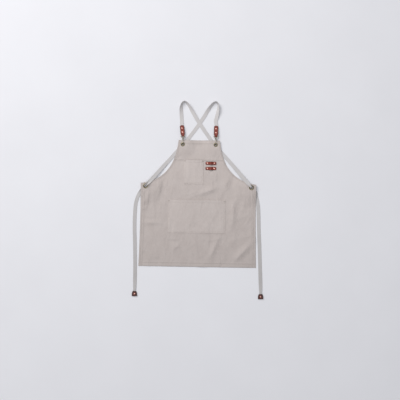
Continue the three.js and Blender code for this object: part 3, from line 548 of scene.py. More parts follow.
PLAIN_WEAVE = plain_weave_group()
MOTTLE = mottle_group()
CRUMPLE = crumple_group()
LEATHER_GRAIN = leather_grain_group()


def start_material(name, **values):
    """A material with one Principled shader, whose plain values are set on its own sockets."""
    material = bpy.data.materials.new(name)
    material.use_nodes = True
    tree = material.node_tree
    shader = tree.nodes["Principled BSDF"]
    for label, value in values.items():
        shader.inputs[label.replace("_", " ")].default_value = value
    return material, tree, shader


def place_group(tree, group, inputs):
    """A node group placed in a material, with its inputs linked or set."""
    return add_node(tree, "ShaderNodeGroup", inputs, node_tree=group)


def add_bump(tree, shader, height, strength, distance):
    """Fine relief from a height, on top of any relief that the shader already has."""
    bump = add_node(tree, "ShaderNodeBump", {"Height": height, "Strength": strength, "Distance": distance})
    for link in shader.inputs["Normal"].links:
        tree.links.new(link.from_socket, bump.inputs["Normal"])
    tree.links.new(bump.outputs[0], shader.inputs["Normal"])


def object_place(tree):
    """Places on a piece in its own coordinates."""
    return add_node(tree, "ShaderNodeTexCoord").outputs["Object"]


def mark_place(tree, mark, field="Vector"):
    """Values that a mesh carries under a name."""
    return add_node(tree, "ShaderNodeAttribute", attribute_name=mark).outputs[field]


def woven_cloth(name, pale, deep, pitch, stretch, fade, crumpled, mark=None, seams=None):
    """Woven cotton: threads from the weave, their tone from slubs and a slow mottle, and painted shade that
    makes raised threads paler and the gaps between them darker. The fade, a painted falloff of light, scales
    the colour along the cloth, between two places in metres, and seams and edges are a little darker, partly
    their own tone and partly painted shade."""
    material, tree, shader = start_material(name, Roughness=0.92, Sheen_Weight=0.12, Sheen_Roughness=0.5)
    place = mark_place(tree, mark) if mark else object_place(tree)
    drawn = add_node(tree, "ShaderNodeMapping", {"Vector": place, "Scale": stretch}).outputs[0]
    weave = place_group(tree, PLAIN_WEAVE, {"Vector": drawn, "Pitch": pitch})
    slow = place_group(tree, MOTTLE, {"Vector": place, "Size": CLOTH_SIZES["mottle"]})
    tone = sums(tree, "ADD", sums(tree, "MULTIPLY", weave.outputs["Slub"], CLOTH_TONE["slub"]),
                sums(tree, "MULTIPLY", slow.outputs["Tone"], CLOTH_TONE["mottle"]))
    # Painted shade of the weave: raised threads paler, the gaps between them darker
    raised = sums(tree, "MULTIPLY", weave.outputs["Height"], CLOTH_TONE["height"])
    shade = sums(tree, "ADD", tone, raised)
    # Painted falloff of light: the colour scaled along the cloth, brighter towards the window and darker
    # away from it
    along = add_node(tree, "ShaderNodeSeparateXYZ", {0: place}).outputs[1]
    scale = add_node(tree, "ShaderNodeMapRange", {0: along, 1: fade[0], 2: fade[1], 3: fade[2], 4: fade[3]})
    share = scale.outputs[0]
    # Darker along seams and edges: partly the seams' own tone, partly painted shade in their grooves and
    # under the edges
    if seams:
        pressed = add_node(tree, "ShaderNodeMapRange",
                           {0: mark_place(tree, seams, "Fac"), 3: 1.0, 4: CLOTH_TONE["seam"]})
        share = sums(tree, "MULTIPLY", share, pressed.outputs[0])
    colour_with_painted_shade = add_node(tree, "ShaderNodeVectorMath",
                     {0: blend_colour(tree, shade, deep, pale), "Scale": share}, operation="SCALE")
    tree.links.new(colour_with_painted_shade.outputs[0], shader.inputs["Base Color"])
    creases = place_group(tree, CRUMPLE, {"Vector": place, "Size": CLOTH_SIZES["crumple"]})
    add_bump(tree, shader, creases.outputs["Height"], 1.0, crumpled)
    add_bump(tree, shader, weave.outputs["Height"], 0.7, CLOTH_SIZES["weave_relief"])
    return material


def tanned_leather(name, deep, pale, crease, edge):
    """Leather: pebbled grain with painted shade in its creases, a slow change of tone, and dark burnished
    edges.
    """
    material, tree, shader = start_material(name, Specular_IOR_Level=0.4)
    place = object_place(tree)
    grain = place_group(tree, LEATHER_GRAIN, {"Vector": place, "Size": 0.0011})
    slow = place_group(tree, MOTTLE, {"Vector": place, "Size": 0.012})
    face = blend_colour(tree, slow.outputs["Tone"], deep, pale)
    # Painted shade: the face darkened towards the crease colour in the grain's creases
    grain_with_painted_shade = blend_colour(tree, sums(tree, "MULTIPLY", grain.outputs["Crease"], 0.35), face, crease)
    rim = mark_place(tree, "rim", "Fac")
    tree.links.new(blend_colour(tree, rim, grain_with_painted_shade, edge), shader.inputs["Base Color"])
    rough = add_node(tree, "ShaderNodeMapRange", {0: slow.outputs["Tone"], 1: 0.0, 2: 1.0, 3: 0.45, 4: 0.62})
    tree.links.new(rough.outputs[0], shader.inputs["Roughness"])
    add_bump(tree, shader, grain.outputs["Height"], 0.3, 0.0002)
    return material


def worn_metal(name, bright, dull, smooth_finish, rough_finish):
    """Metal with a tarnish that comes and goes over its surface."""
    material, tree, shader = start_material(name, Metallic=1.0)
    place = object_place(tree)
    coarse = place_group(tree, MOTTLE, {"Vector": place, "Size": 0.006})
    fine = place_group(tree, MOTTLE, {"Vector": place, "Size": 0.0012})
    tarnish = sums(tree, "MULTIPLY_ADD", coarse.outputs["Tone"], 0.7,
                   sums(tree, "MULTIPLY", fine.outputs["Tone"], 0.3))
    tree.links.new(blend_colour(tree, tarnish, bright, dull), shader.inputs["Base Color"])
    rough = add_node(tree, "ShaderNodeMapRange",
                     {0: tarnish, 1: 0.0, 2: 1.0, 3: smooth_finish, 4: rough_finish})
    tree.links.new(rough.outputs[0], shader.inputs["Roughness"])
    add_bump(tree, shader, fine.outputs["Tone"], 0.15, 0.0001)
    return material


def cotton_thread():
    """Sewing thread: pale cotton with the slant of its twist as fine ridges, drawn also in colour as paler
    and darker bands, a painted shade along the twist.
    """
    material, tree, shader = start_material("cotton_thread", Roughness=0.85)
    place = object_place(tree)
    twist = add_node(tree, "ShaderNodeTexWave", {"Vector": place, "Scale": 900.0, "Distortion": 1.0},
                     bands_direction="DIAGONAL")
    tree.links.new(blend_colour(tree, twist.outputs["Fac"], linear(168, 158, 151), linear(196, 187, 180)),
                   shader.inputs["Base Color"])
    add_bump(tree, shader, twist.outputs["Fac"], 0.3, 0.0001)
    return material


def pale_table():
    """Pale table top with a very slight unevenness of tone. It glows softly far from the apron, so that it
    stays pale beyond the reach of the lights."""
    material, tree, shader = start_material("pale_table", Roughness=0.75, Specular_IOR_Level=0.2,
                                            Emission_Strength=0.45)
    place = object_place(tree)
    distance = add_node(tree, "ShaderNodeVectorMath", {0: place}, operation="LENGTH").outputs["Value"]
    far = add_node(tree, "ShaderNodeMapRange", {0: distance, 1: 2.0, 2: 9.0}).outputs[0]
    glow = blend_colour(tree, far, (0.0, 0.0, 0.0, 1.0), (0.9, 0.9, 0.94, 1.0))
    tree.links.new(glow, shader.inputs["Emission Color"])
    slow = place_group(tree, MOTTLE, {"Vector": place, "Size": 0.4})
    tree.links.new(blend_colour(tree, slow.outputs["Tone"], linear(229, 229, 233), linear(232, 232, 236)),
                   shader.inputs["Base Color"])
    return material


# The fade is a painted falloff of light: the canvas darker towards the hem and brighter towards the bib, the
# webbing darker along its run towards its tie ends
CANVAS_WEAVE = {
    "pitch": 0.0009, "stretch": (1.0, 1.0, 1.0), "fade": (-0.35, 0.3, 0.96, 1.09), "crumpled": 0.0009,
}
WEBBING_WEAVE = {
    "pitch": 0.0013, "stretch": (1.0, 0.55, 1.0), "fade": (0.3, 1.4, 1.03, 0.82), "crumpled": 0.0,
}
# The seam mark darkens seams and edges, partly their own tone and partly painted shade
CANVAS_CLOTH = woven_cloth("canvas_cloth", linear(201, 192, 188), linear(179, 168, 163), **CANVAS_WEAVE,
                           seams="seam")
POCKET_CLOTH = woven_cloth("pocket_cloth", linear(206, 197, 193), linear(184, 173, 168), **CANVAS_WEAVE)
WEBBING_CLOTH = woven_cloth("webbing_cloth", linear(211, 208, 207), linear(190, 186, 186), **WEBBING_WEAVE,
                            mark="lay")
BROWN_LEATHER = tanned_leather("brown_leather", linear(118, 50, 39), linear(150, 66, 51), linear(60, 28, 22),
                               linear(46, 22, 18))
DARK_LEATHER = tanned_leather("dark_leather", linear(70, 32, 27), linear(96, 46, 38), linear(38, 18, 15),
                              linear(30, 15, 13))
AGED_BRASS = worn_metal("aged_brass", linear(148, 139, 114), linear(76, 70, 56), 0.26, 0.46)
BRIGHT_BRASS = worn_metal("bright_brass", linear(206, 200, 180), linear(126, 118, 98), 0.2, 0.4)
COPPER = worn_metal("copper", linear(238, 194, 182), linear(208, 150, 136), 0.25, 0.42)
COTTON_THREAD = cotton_thread()


# Canvas panel: outline, lie and thickness
def armhole_point(t):
    """Half width and height on the armhole: a quadratic curve from the bib corner, t = 0, to the waist,
    t = 1."""
    half = (1 - t) ** 2 * BIB_WIDTH / 2 + 2 * t * (1 - t) * ARMHOLE["pull_half"] + t * t * WAIST_WIDTH / 2
    depth = 2 * t * (1 - t) * ARMHOLE["pull_depth"] + t * t * ARMHOLE["depth"]
    return half, LENGTH - depth


def armhole_place(depth):
    """The t at which the armhole is at a depth below the bib's top edge."""
    square = ARMHOLE["depth"] - 2 * ARMHOLE["pull_depth"]
    return (np.sqrt(ARMHOLE["pull_depth"] ** 2 + square * depth) - ARMHOLE["pull_depth"]) / square


def skirt_half(v):
    """Half width of the skirt: a straight line from hem to waist, drawn in between by half a sine wave."""
    share = v / CORNER_V
    straight = (HEM_WIDTH + (WAIST_WIDTH - HEM_WIDTH) * share) / 2
    return straight - SIDE_BOW * np.sin(np.pi * np.clip(share, 0, 1))


def armhole_inset(x, v):
    """Distance in from the armhole: from the tangent at the nearest of many points on the curve."""
    half, height = armhole_point(np.linspace(0, 1, 241))
    run = unit(np.stack([np.gradient(half), np.gradient(height)], axis=1))
    flat_x, flat_v = np.abs(x).ravel(), np.asarray(v).ravel()
    near = np.argmin((flat_x[:, None] - half) ** 2 + (flat_v[:, None] - height) ** 2, axis=1)
    inset = (flat_x - half[near]) * run[near, 1] - (flat_v - height[near]) * run[near, 0]
    return inset.reshape(np.shape(x))


def near_run(run, x, v):
    """Share along a straight run and distance from it."""
    x0, v0, x1, v1 = run[:4]
    dx, dv = x1 - x0, v1 - v0
    along = ((x - x0) * dx + (v - v0) * dv) / (dx * dx + dv * dv)
    t = np.clip(along, 0, 1)
    return along, np.hypot(x - x0 - t * dx, v - v0 - t * dv)


def beside_pocket(pocket, x, v):
    """0 on a pocket and near its sewn edges, 1 away from it."""
    dx = np.maximum(0, np.abs(x - pocket["x"]) - pocket["width"] / 2)
    dv = np.maximum(0, np.abs(v - pocket["v"] - pocket["height"] / 2) - pocket["height"] / 2)
    return smooth((np.hypot(dx, dv) - POCKET_MARGIN["flat"]) / POCKET_MARGIN["ramp"])


def seat_share(x, v, eyelet, sign, reach):
    """1 on an eyelet's seat, falling to 0 at its reach."""
    distance = np.hypot(x - sign * eyelet["x"], v - eyelet["v"])
    return 1 - smooth((distance - SEAT["flat"]) / (reach - SEAT["flat"]))


def creased(x, v, run, height, steep, gentle, bow=0.0):
    """A crease along a run: a ridge with a steep flank on the side away from the window and a gentle one
    towards it, falling off as the exponential of a power of the distance, fading out at both ends and bowed
    in the middle."""
    x0, v0, x1, v1 = run[:4]
    dx, dv = x1 - x0, v1 - v0
    length = np.hypot(dx, dv)
    along = ((x - x0) * dx + (v - v0) * dv) / length**2
    away = np.sign(dv * AWAY_FROM_WINDOW[0] - dx * AWAY_FROM_WINDOW[1])
    ends = np.clip(4 * along * (1 - along), 0, 1)
    beside = away * ((x - x0) * dv - (v - v0) * dx) / length - bow * ends
    flank = np.where(beside > 0, steep, gentle)
    return height * ends**0.8 * np.exp(-(np.abs(beside / flank) ** 1.5))


def small_creases(kind):
    """Small creases scattered over the panel, most of them running down it or slanting towards its sides."""
    pick = np.random.default_rng(23)
    creases = []
    for x, v in pick.uniform(kind["low"], kind["high"], (kind["count"], 2)):
        degrees = pick.choice(kind["headings"], p=kind["shares"]) + pick.normal(0, kind["heading_spread"])
        heading = np.radians(degrees)
        reach = pick.uniform(*kind["reach"])
        dx, dv = reach * np.cos(heading), reach * np.sin(heading)
        height, steep, gentle = (pick.uniform(*kind[size]) for size in ("height", "steep", "gentle"))
        bow = pick.normal(0, kind["bow_spread"])
        creases.append(((x - dx, v - dv, x + dx, v + dv), height, steep, gentle, bow))
    return creases


SMALL_CREASES = small_creases(SMALL_CREASE)


def gentle_waves(x, v):
    """Low waves left in the cloth: a sum of cosines with fixed headings, lengths, starts and heights."""
    heading, length, start, height = WAVES.T
    across = np.multiply.outer(x, np.cos(heading)) + np.multiply.outer(v, np.sin(heading))
    return (height * (1 + np.cos(2 * np.pi * across / length + start))).sum(axis=-1)


def lifted_hem(x, v):
    """The skirt's free edges rise off the table here and there: the positive part of a product of two sines,
    to a power, near the edge and below the waist."""
    edge = np.minimum(v, skirt_half(v) - np.abs(x))
    waves = [np.sin(2 * np.pi * (x + slant * v) / length + start) for slant, length, start in HEM_WAVES]
    low = 1 - smooth((v - HEM_LIFT["up_to"]) / HEM_LIFT["fade"])
    near = (1 - smooth(edge / HEM_LIFT["reach"])) * low
    return HEM_LIFT["height"] * near * np.maximum(0.0, waves[0] * waves[1]) ** 1.5


def canvas_underside(x, v):
    """Height of the canvas above the table: folds that fade out beside the pockets, small creases that are
    weaker on the pockets, ridges over the straps behind the bib, low waves, lifted hems, the seats of the
    eyelets, and creases pulled in beside those."""
    height = np.zeros(np.shape(x))
    for fold in FOLDS:
        along, distance = near_run(fold, x, v)
        across = np.cos(np.pi / 2 * np.minimum(1, distance / fold[5])) ** 2
        height += FOLD_SHARE * fold[4] * across * np.sin(np.pi * np.clip(along, *FOLD_ENDS))
        height += creased(x, v, fold, (1 - FOLD_SHARE) * fold[4], **FOLD_FLANKS)
    off_chest, off_waist = beside_pocket(CHEST_POCKET, x, v), beside_pocket(WAIST_POCKET, x, v)
    height *= off_chest * off_waist
    small = sum(creased(x, v, *crease) for crease in SMALL_CREASES)
    on_chest, on_waist = ON_POCKET["chest"], ON_POCKET["waist"]
    height += small * (on_chest + (1 - on_chest) * off_chest) * (on_waist + (1 - on_waist) * off_waist)
    ridges = [1 - smooth((near_run(run, x, v)[1] - RIDGE["flat"]) / (RIDGE["reach"] - RIDGE["flat"]))
              for run in UNDER_RUNS]
    calm = CALM["share"] * smooth(np.min(canvas_insets(x, v), axis=0) / CALM["reach"])
    height += RIDGE["height"] * np.maximum(*ridges) + calm * gentle_waves(x, v) + lifted_hem(x, v)
    pulled = sum(creased(x, v, *crease) for crease in PULL_CREASES)
    for eyelet, sign in SEATS:
        height += (eyelet["lift"] - height) * seat_share(x, v, eyelet, sign, eyelet["reach"])
        pulled = pulled * (1 - seat_share(x, v, eyelet, sign, SEAT["flat"] + PULL_FADE))
    return height + pulled


def canvas_insets(x, v):
    """Distances in from the bottom, top, side and armhole edges."""
    return v, LENGTH - v, skirt_half(v) - np.abs(x), armhole_inset(x, v)


def canvas_thickness(x, v, insets):
    """One layer, thicker over the turned-in hems and pressed to one value under the eyelets."""
    bottom, top, side, armhole = insets
    hems = ((bottom, HEM["bottom"]), (top, HEM["top"]), (side, HEM["side"]), (armhole, HEM["armhole"]))
    share = np.max([1 - smooth((inset - width) / HEM["ramp"]) for inset, width in hems], axis=0)
    felled = (smooth((v - BIB_SEAM["low"]) / BIB_SEAM["ramp"])
              * smooth((BIB_SEAM["high"] - v) / BIB_SEAM["ramp"]))
    thickness = CANVAS + HEM["extra"] * share + BIB_SEAM["extra"] * felled
    for eyelet, sign in SEATS:
        pressed = seat_share(x, v, eyelet, sign, SEAT["flat"] + 2 * HEM["ramp"])
        thickness += (SEAT["thickness"] - thickness) * pressed
    return thickness


def seam_dip(inset, line, depth=SEAM_GROOVE["depth"], width=SEAM_GROOVE["width"]):
    """The groove that a row of stitches pulls into the cloth: a bell curve of the distance from the row."""
    return depth * np.exp(-(((inset - line) / width) ** 2))


def seam_places(insets, v):
    """Each row of stitches on the panel, as the distance that it is measured by and its place."""
    rows = [(inset, line) for inset, lines in zip(insets, SEAM_LINES.values()) for line in lines]
    return rows + [(v, row) for row in BIB_SEAM["rows"]]


def rounded_half(edge, thickness):
    """Half the thickness of a cloth whose edge is rounded over: a quarter circle of the distance from it."""
    rounding = np.clip(1 - edge / (thickness / 2), 0, 0.95)
    return thickness / 2 * np.sqrt(1 - rounding**2)


def seam_shade(x, v):
    """Share of the darker line along seams and edges, partly the pressed seams' own tone and partly painted
    shade in their grooves and under the edges: bell curves of the distance from each line."""
    insets = canvas_insets(x, v)
    lines = [seam_dip(inset, line, 1.0, SEAM_SHADE["line"]) for inset, line in seam_places(insets, v)]
    lines.append(seam_dip(np.min(insets, axis=0), 0.0, 1.0, SEAM_SHADE["edge"]))
    return np.max(lines, axis=0)


def canvas_layers(x, v):
    """Underside and face of the canvas. The edges are rounded over as folded hems, and seams dip into the
    face."""
    insets = canvas_insets(x, v)
    thickness = canvas_thickness(x, v, insets)
    half = rounded_half(np.min(insets, axis=0), thickness)
    middle = canvas_underside(x, v) + thickness / 2
    dips = sum(seam_dip(inset, line) for inset, line in seam_places(insets, v))
    return middle - half, middle + half - dips


def canvas_face(x, v):
    """Height of the canvas's upper face."""
    return canvas_layers(x, v)[1]


def canvas_panel():
    """The panel as a grid: rows up the panel, columns across it, both closer together at hems and seams."""
    close, inner = PANEL_CLOSE, PANEL_CLOSE[-1] + PANEL_GRID["step"]
    skirt = np.concatenate([close, np.linspace(inner, CORNER_V, PANEL_GRID["skirt"])])
    places = np.linspace(1, armhole_place(PANEL_GRID["armhole_from"]), PANEL_GRID["armhole"])[1:]
    half, heights = armhole_point(np.concatenate([places, armhole_place(close[::-1])]))
    half = np.concatenate([skirt_half(skirt), half])[:, None]
    middle = np.linspace(-1, 1, PANEL_GRID["columns"])[1:-1]
    x = np.concatenate([close - half, middle * (half - inner), half - close[::-1]], axis=1)
    v = np.repeat(np.concatenate([skirt, heights])[:, None], x.shape[1], axis=1)
    under, face = canvas_layers(x, v)
    clear = np.ones(np.shape(x), dtype=bool)
    for eyelet, sign in SEATS:
        distance = np.hypot(x - sign * eyelet["x"], v - eyelet["v"])
        clear &= distance > eyelet["hole"] + SEAT["hole_clear"]
    kept = clear[:-1, :-1] & clear[1:, :-1] & clear[:-1, 1:] & clear[1:, 1:]
    points, faces = closed_sheet(x, v, face, under, kept)
    # The seam mark is the darker line along seams and edges, partly their own tone and partly painted shade
    return make_piece("canvas_panel", points, faces, CANVAS_CLOTH, "canvas", "apron_panel", crisp=70,
                      seam=np.tile(seam_shade(x, v).ravel(), 2))


# Patch pockets
def pocket_layers(pocket, u, w):
    """Places, underside and face of a pocket at shares u across and w up: it lies on the canvas, and its
    mouth swells open by a power of a sine across and a power of the share up."""
    x = pocket["x"] + (u - 0.5) * pocket["width"]
    v = pocket["v"] + w * pocket["height"]
    swell = pocket["gape"] * np.sin(np.pi * np.clip(u, 0, 1)) ** 0.8 * w**1.5
    sewn = np.minimum(np.minimum(u, 1 - u) * pocket["width"], w * pocket["height"])
    mouth = (1 - w) * pocket["height"]
    hems = ((sewn, POCKET_HEM["sides"]), (mouth, POCKET_HEM["mouth"]))
    turned_in = np.max([1 - smooth((inset - width) / POCKET_HEM["ramp"]) for inset, width in hems], axis=0)
    thickness = CANVAS + POCKET_HEM["extra"] * turned_in
    half = rounded_half(np.minimum(sewn, mouth), thickness)
    middle = canvas_face(x, v) + POCKET_HEM["above_canvas"] + swell + thickness / 2
    dips = sum(seam_dip(sewn, row) for row in POCKET_ROWS["sewn"]) + seam_dip(mouth, POCKET_ROWS["mouth"])
    return x, v, middle - half, middle + half - dips


def pocket_piece(name, pocket, across, up):
    """A pocket on a grid of shares that are closer together at its edges."""
    def shares(size, count):
        """Places across a size, as shares of it."""
        close, even = POCKET_CLOSE / size, POCKET_EVEN_FROM / size
        return np.concatenate([close, np.linspace(even, 1 - even, count), 1 - close[::-1]])
    u, w = np.meshgrid(shares(pocket["width"], across), shares(pocket["height"], up))
    x, v, under, face = pocket_layers(pocket, u, w)
    points, faces = closed_sheet(x, v, face, under)
    return make_piece(name, points, faces, POCKET_CLOTH, "canvas", name.replace("_patch", ""), crisp=70)


def pocket_face(pocket):
    """Height of a pocket's face over the layout."""
    def face(x, v):
        """Height of the face at places on the layout."""
        u = (x - pocket["x"]) / pocket["width"] + 0.5
        return pocket_layers(pocket, u, (v - pocket["v"]) / pocket["height"])[3]
    return face


# Stitching
def thread_bead():
    """One stitch: a grain shape, rings of six points that swell and shrink along it."""
    along = np.linspace(-1, 1, 6)
    around = np.arange(6) * np.pi / 3
    girth = np.sqrt(np.clip(1 - along**4, 0, 1))
    points = np.stack([np.repeat(along[:, None], 6, axis=1), girth[:, None] * np.cos(around),
                       girth[:, None] * np.sin(around)], axis=-1)
    return points.reshape(-1, 3), grid_quads(6, 6, around=True)


def stitch_row(line, face, pitch=STITCH["pitch"], length=STITCH["length"]):
    """Stitches laid end to end along a line on a face: evenly spaced by length, each lying in the face's
    slope."""
    line = np.asarray(line, dtype=float)
    run = running_length(line)
    at = np.arange(pitch / 2, run[-1], pitch)
    x, v = np.interp(at, run, line[:, 0]), np.interp(at, run, line[:, 1])
    near = np.clip(np.searchsorted(run, at), 1, len(run) - 1)
    heading = unit(line[near] - line[near - 1])
    step = STITCH["slope_step"]
    rise_x = (face(x + step, v) - face(x - step, v)) / (2 * step)
    rise_v = (face(x, v + step) - face(x, v - step)) / (2 * step)
    normal = unit(np.stack([-rise_x, -rise_v, np.ones_like(x)], axis=1))
    ahead = unit(np.column_stack([heading, heading[:, 0] * rise_x + heading[:, 1] * rise_v]))
    beside = np.cross(normal, ahead)
    centre = np.stack([x, v, face(x, v)], axis=1) + normal * STITCH["raised"]
    bead, quads = thread_bead()
    points = (centre[:, None] + ahead[:, None] * bead[None, :, :1] * length / 2
              + beside[:, None] * bead[None, :, 1:2] * STITCH["width"] / 2
              + normal[:, None] * bead[None, :, 2:] * STITCH["height"] / 2)
    faces = (np.arange(len(at))[:, None, None] * len(bead) + quads).reshape(-1, 4)
    return points.reshape(-1, 3), faces.tolist()


def stitching(name, rows):
    """Rows of stitches as one piece."""
    return make_piece(name, *together(*rows), COTTON_THREAD, "canvas", crisp=80)


def level_line(half, v, count):
    """Points along a straight line across the panel at one height."""
    return np.column_stack([np.linspace(-half, half, count), np.full(count, v)])


def armhole_line(inset, sign):
    """The armhole curve moved in by an inset."""
    half, height = armhole_point(np.linspace(0.045, 0.985, 160))
    run = unit(np.stack([np.gradient(half), np.gradient(height)], axis=1))
    return np.column_stack([sign * (half + inset * run[:, 1]), height - inset * run[:, 0]])


def panel_stitching():
    """Hems, armholes and the seam across the bib."""
    bottom, top = SEAM_LINES["bottom"][0], SEAM_LINES["top"][0]
    lines = [level_line(skirt_half(bottom) - 2, bottom, 200),
             level_line(BIB_WIDTH / 2 - 5, LENGTH - top, 80)]
    for v in BIB_SEAM["rows"]:
        lines.append(level_line(armhole_point(armhole_place(LENGTH - v))[0] - 3, v, 80))
    heights = np.linspace(3, CORNER_V - 4, 160)
    for sign in (-1.0, 1.0):
        for inset in SEAM_LINES["side"]:
            lines.append(np.column_stack([sign * (skirt_half(heights) - inset), heights]))
        lines.append(armhole_line(SEAM_LINES["armhole"][0], sign))
    return stitching("panel_stitching", [stitch_row(line, canvas_face) for line in lines])


def pocket_stitching(name, pocket):
    """Two rows round the sewn edges, one along the mouth hem, and a bar tack at both corners of the
    mouth."""
    face = pocket_face(pocket)
    left, right = pocket["x"] - pocket["width"] / 2, pocket["x"] + pocket["width"] / 2
    foot, mouth = pocket["v"], pocket["v"] + pocket["height"]
    rows = []
    for inset in POCKET_ROWS["sewn"]:
        corners = [(left + inset, mouth - 2), (left + inset, foot + inset), (right - inset, foot + inset),
                   (right - inset, mouth - 2)]
        rows.append(stitch_row(corners, face))
    hem = mouth - POCKET_ROWS["mouth"]
    rows.append(stitch_row([(left + 3, hem), (right - 3, hem)], face))
    inset, width = BAR_TACK["inset"], BAR_TACK["width"]
    for side in (left + inset, right - inset - width):
        for k in range(BAR_TACK["stitches"]):
            v = mouth - BAR_TACK["below_mouth"] - BAR_TACK["step"] * k
            rows.append(stitch_row([(side, v), (side + width, v)], face, width, BAR_TACK["length"]))
    return stitching(name, rows)


# Straps
def tab_frame(side):
    """Origin, across, up and out of a strap tab: it hangs from the eye's bar and drops to the table."""
    sign, turn = SIDES[side]["sign"], np.radians(SIDES[side]["turn"])
    origin = np.array([sign * BIB_EYELET["x"], BIB_EYELET["v"] + EYE["bar"], HOOK["middle"]])
    drop = np.arcsin((HOOK["middle"] - TAB["top"]) / TAB["length"])
    up = np.array([np.sin(turn) * np.cos(drop), np.cos(turn) * np.cos(drop), -np.sin(drop)])
    across = unit(np.cross(up, (0.0, 0.0, 1.0)))
    return origin, across, up, np.cross(across, up)


def tip_frame(side):
    """Origin, across, up and out of a tie's tip: flat on the table, in line with the end of its tie."""
    end = np.array(SIDES[side]["tie_end"])
    up = unit(TIE_RUNS[side][-1] - end)
    origin = np.array([*end, LEAF_MIDDLE + LEATHER])
    return origin, np.array([up[1], -up[0], 0.0]), np.array([*up, 0.0]), np.array([0.0, 0.0, 1.0])


def strap_route(side):
    """Knots of a strap: place, and bank, curl and width at each."""
    far = FAR_SIDE[side]
    width, thick = WEBBING["width"], WEBBING["thickness"]

    def laid(x, v, rise, bank):
        """Knots of webbing whose lowest edge is at a rise: its middle is half its leaning section higher."""
        lean = np.radians(np.abs(bank))
        middle = rise + (width * np.sin(lean) + thick * np.cos(lean)) / 2
        zero = np.zeros_like(x)
        return np.column_stack([x, v, middle]), np.column_stack([bank + zero, zero, zero + width])

    origin, _, up, _ = tab_frame(side)
    inside = np.array([*TAB["webbing_at"], TAB["length"]])
    tab = origin + inside[:, None] * up, np.tile((0.0, 0.0, width), (len(inside), 1))
    shoulder = laid(*SHOULDER_RUNS[side].T)
    hole = np.array([SIDES[far]["sign"] * SIDE_EYELET["x"], SIDE_EYELET["v"]])
    along = unit(hole - shoulder[0][-1, :2])
    dip = (np.column_stack([hole + (EYELET_DIP[:, :1] + DIP_SHIFT) * along, EYELET_DIP[:, 1]]),
           np.column_stack([np.zeros(len(EYELET_DIP)), EYELET_DIP[:, 2], np.full(len(EYELET_DIP), width)]))
    x, v = TIE_RUNS[far].T
    tie = laid(x, v, np.full_like(x, TIE_RISE), np.zeros_like(x))
    origin, _, up, _ = tip_frame(far)
    inside = np.array(TIP["webbing_at"])
    tip = origin + inside[:, None] * up, np.tile((0.0, 0.0, TIP["webbing"]), (len(inside), 1))
    places, leans = zip(tab, shoulder, dip, tie, tip)
    return np.concatenate(places), np.concatenate(leans)


def strap_piece(side):
    """Webbing carried along its route: the section is an arc of constant length, flat or rolled up, with
    rounded selvedges, leaning by the bank."""
    places, leans = strap_route(side)
    t = np.linspace(0, 1, STRAP_RINGS)
    path, lean = catmull(places, t), catmull(leans, t, centripetal=False)
    ahead = unit(np.gradient(path, axis=0))
    bank, curl, width = np.radians(lean[:, 0]), np.maximum(lean[:, 1], 1e-5)[:, None], lean[:, 2:]
    level = unit(np.cross(ahead, (0.0, 0.0, 1.0)))
    lifted = np.cross(level, ahead)
    right = level * np.cos(bank)[:, None] + lifted * np.sin(bank)[:, None]
    out = np.cross(right, ahead)
    section = strip_section(WEBBING["thickness"], 0.46, 11)
    across = section[None, :, 0] * width
    angle, radius = across * curl, 1 / curl - section[None, :, 1]
    points = (path[:, None] + right[:, None] * (np.sin(angle) * radius)[..., None]
              + out[:, None] * (1 / curl - np.cos(angle) * radius)[..., None])
    count, ring = points.shape[:2]
    faces = grid_quads(count, ring, around=True).tolist() + end_caps(count, ring)
    run = running_length(path)
    lay = np.stack([across, np.repeat(run[:, None], ring, axis=1), np.zeros((count, ring))], axis=-1) * MM
    piece = make_piece(f"webbing_{side}", points.reshape(-1, 3), faces, WEBBING_CLOTH, "webbing",
                       f"strap_{side}", crisp=75, lay=lay.reshape(-1, 3))
    return piece, run[-1] * MM


# Leather
def leather_piece(name, node, path, side, normal, half_width, material, columns=9):
    """A leather strip carried along a path, with its half width at each point. Its rim mark is 1 at the long
    edges and the two ends, and 0 inside."""
    section = strip_section(LEATHER, 0.47, columns)
    points, faces = carried(section, path, side, normal, widths=2 * half_width)
    ends = np.zeros(len(path))
    ends[[0, -1]] = 1.0
    rim = np.maximum(smooth((np.abs(section[:, 0]) - 0.44) / 0.05)[None, :], ends[:, None])
    make_piece(name, points, faces, material, "leather", node, crisp=60, rim=rim.ravel())


def folded_leather(name, node, place, along, outward, half_width, material):
    """A leather strip folded in two: the side view of its middle carried across by the half width at each
    point."""
    origin, across, up, out = place
    path = origin + along[:, :1] * up + along[:, 1:] * out
    normal = outward[:, :1] * up + outward[:, 1:] * out
    side = np.repeat(across[None], len(along), axis=0)
    leather_piece(name, node, path, side, normal, half_width, material)


def hairpin(length, bend, leaf, shoulder):
    """Side view of a folded strip's middle: down the front leaf, round the bend and up the back leaf.
    Between shoulder and bend the leaves open out smoothly. Gives the points and the outward normals."""
    steps = np.concatenate([np.linspace(length, shoulder, 26)[:-1], np.linspace(shoulder, 0, 14)[:-1]])
    opened = leaf + (bend - leaf) * smooth(1 - steps / max(shoulder, 1e-6))
    round_the_bar = arc(0.0, 0.0, bend, np.linspace(np.pi / 2, 3 * np.pi / 2, 19))
    front = np.stack([steps, opened], axis=1)
    back = front[::-1] * (1, -1)
    along = np.concatenate([front, round_the_bar, back])
    ahead = unit(np.gradient(along, axis=0))
    return along, np.stack([ahead[:, 1], -ahead[:, 0]], axis=1)


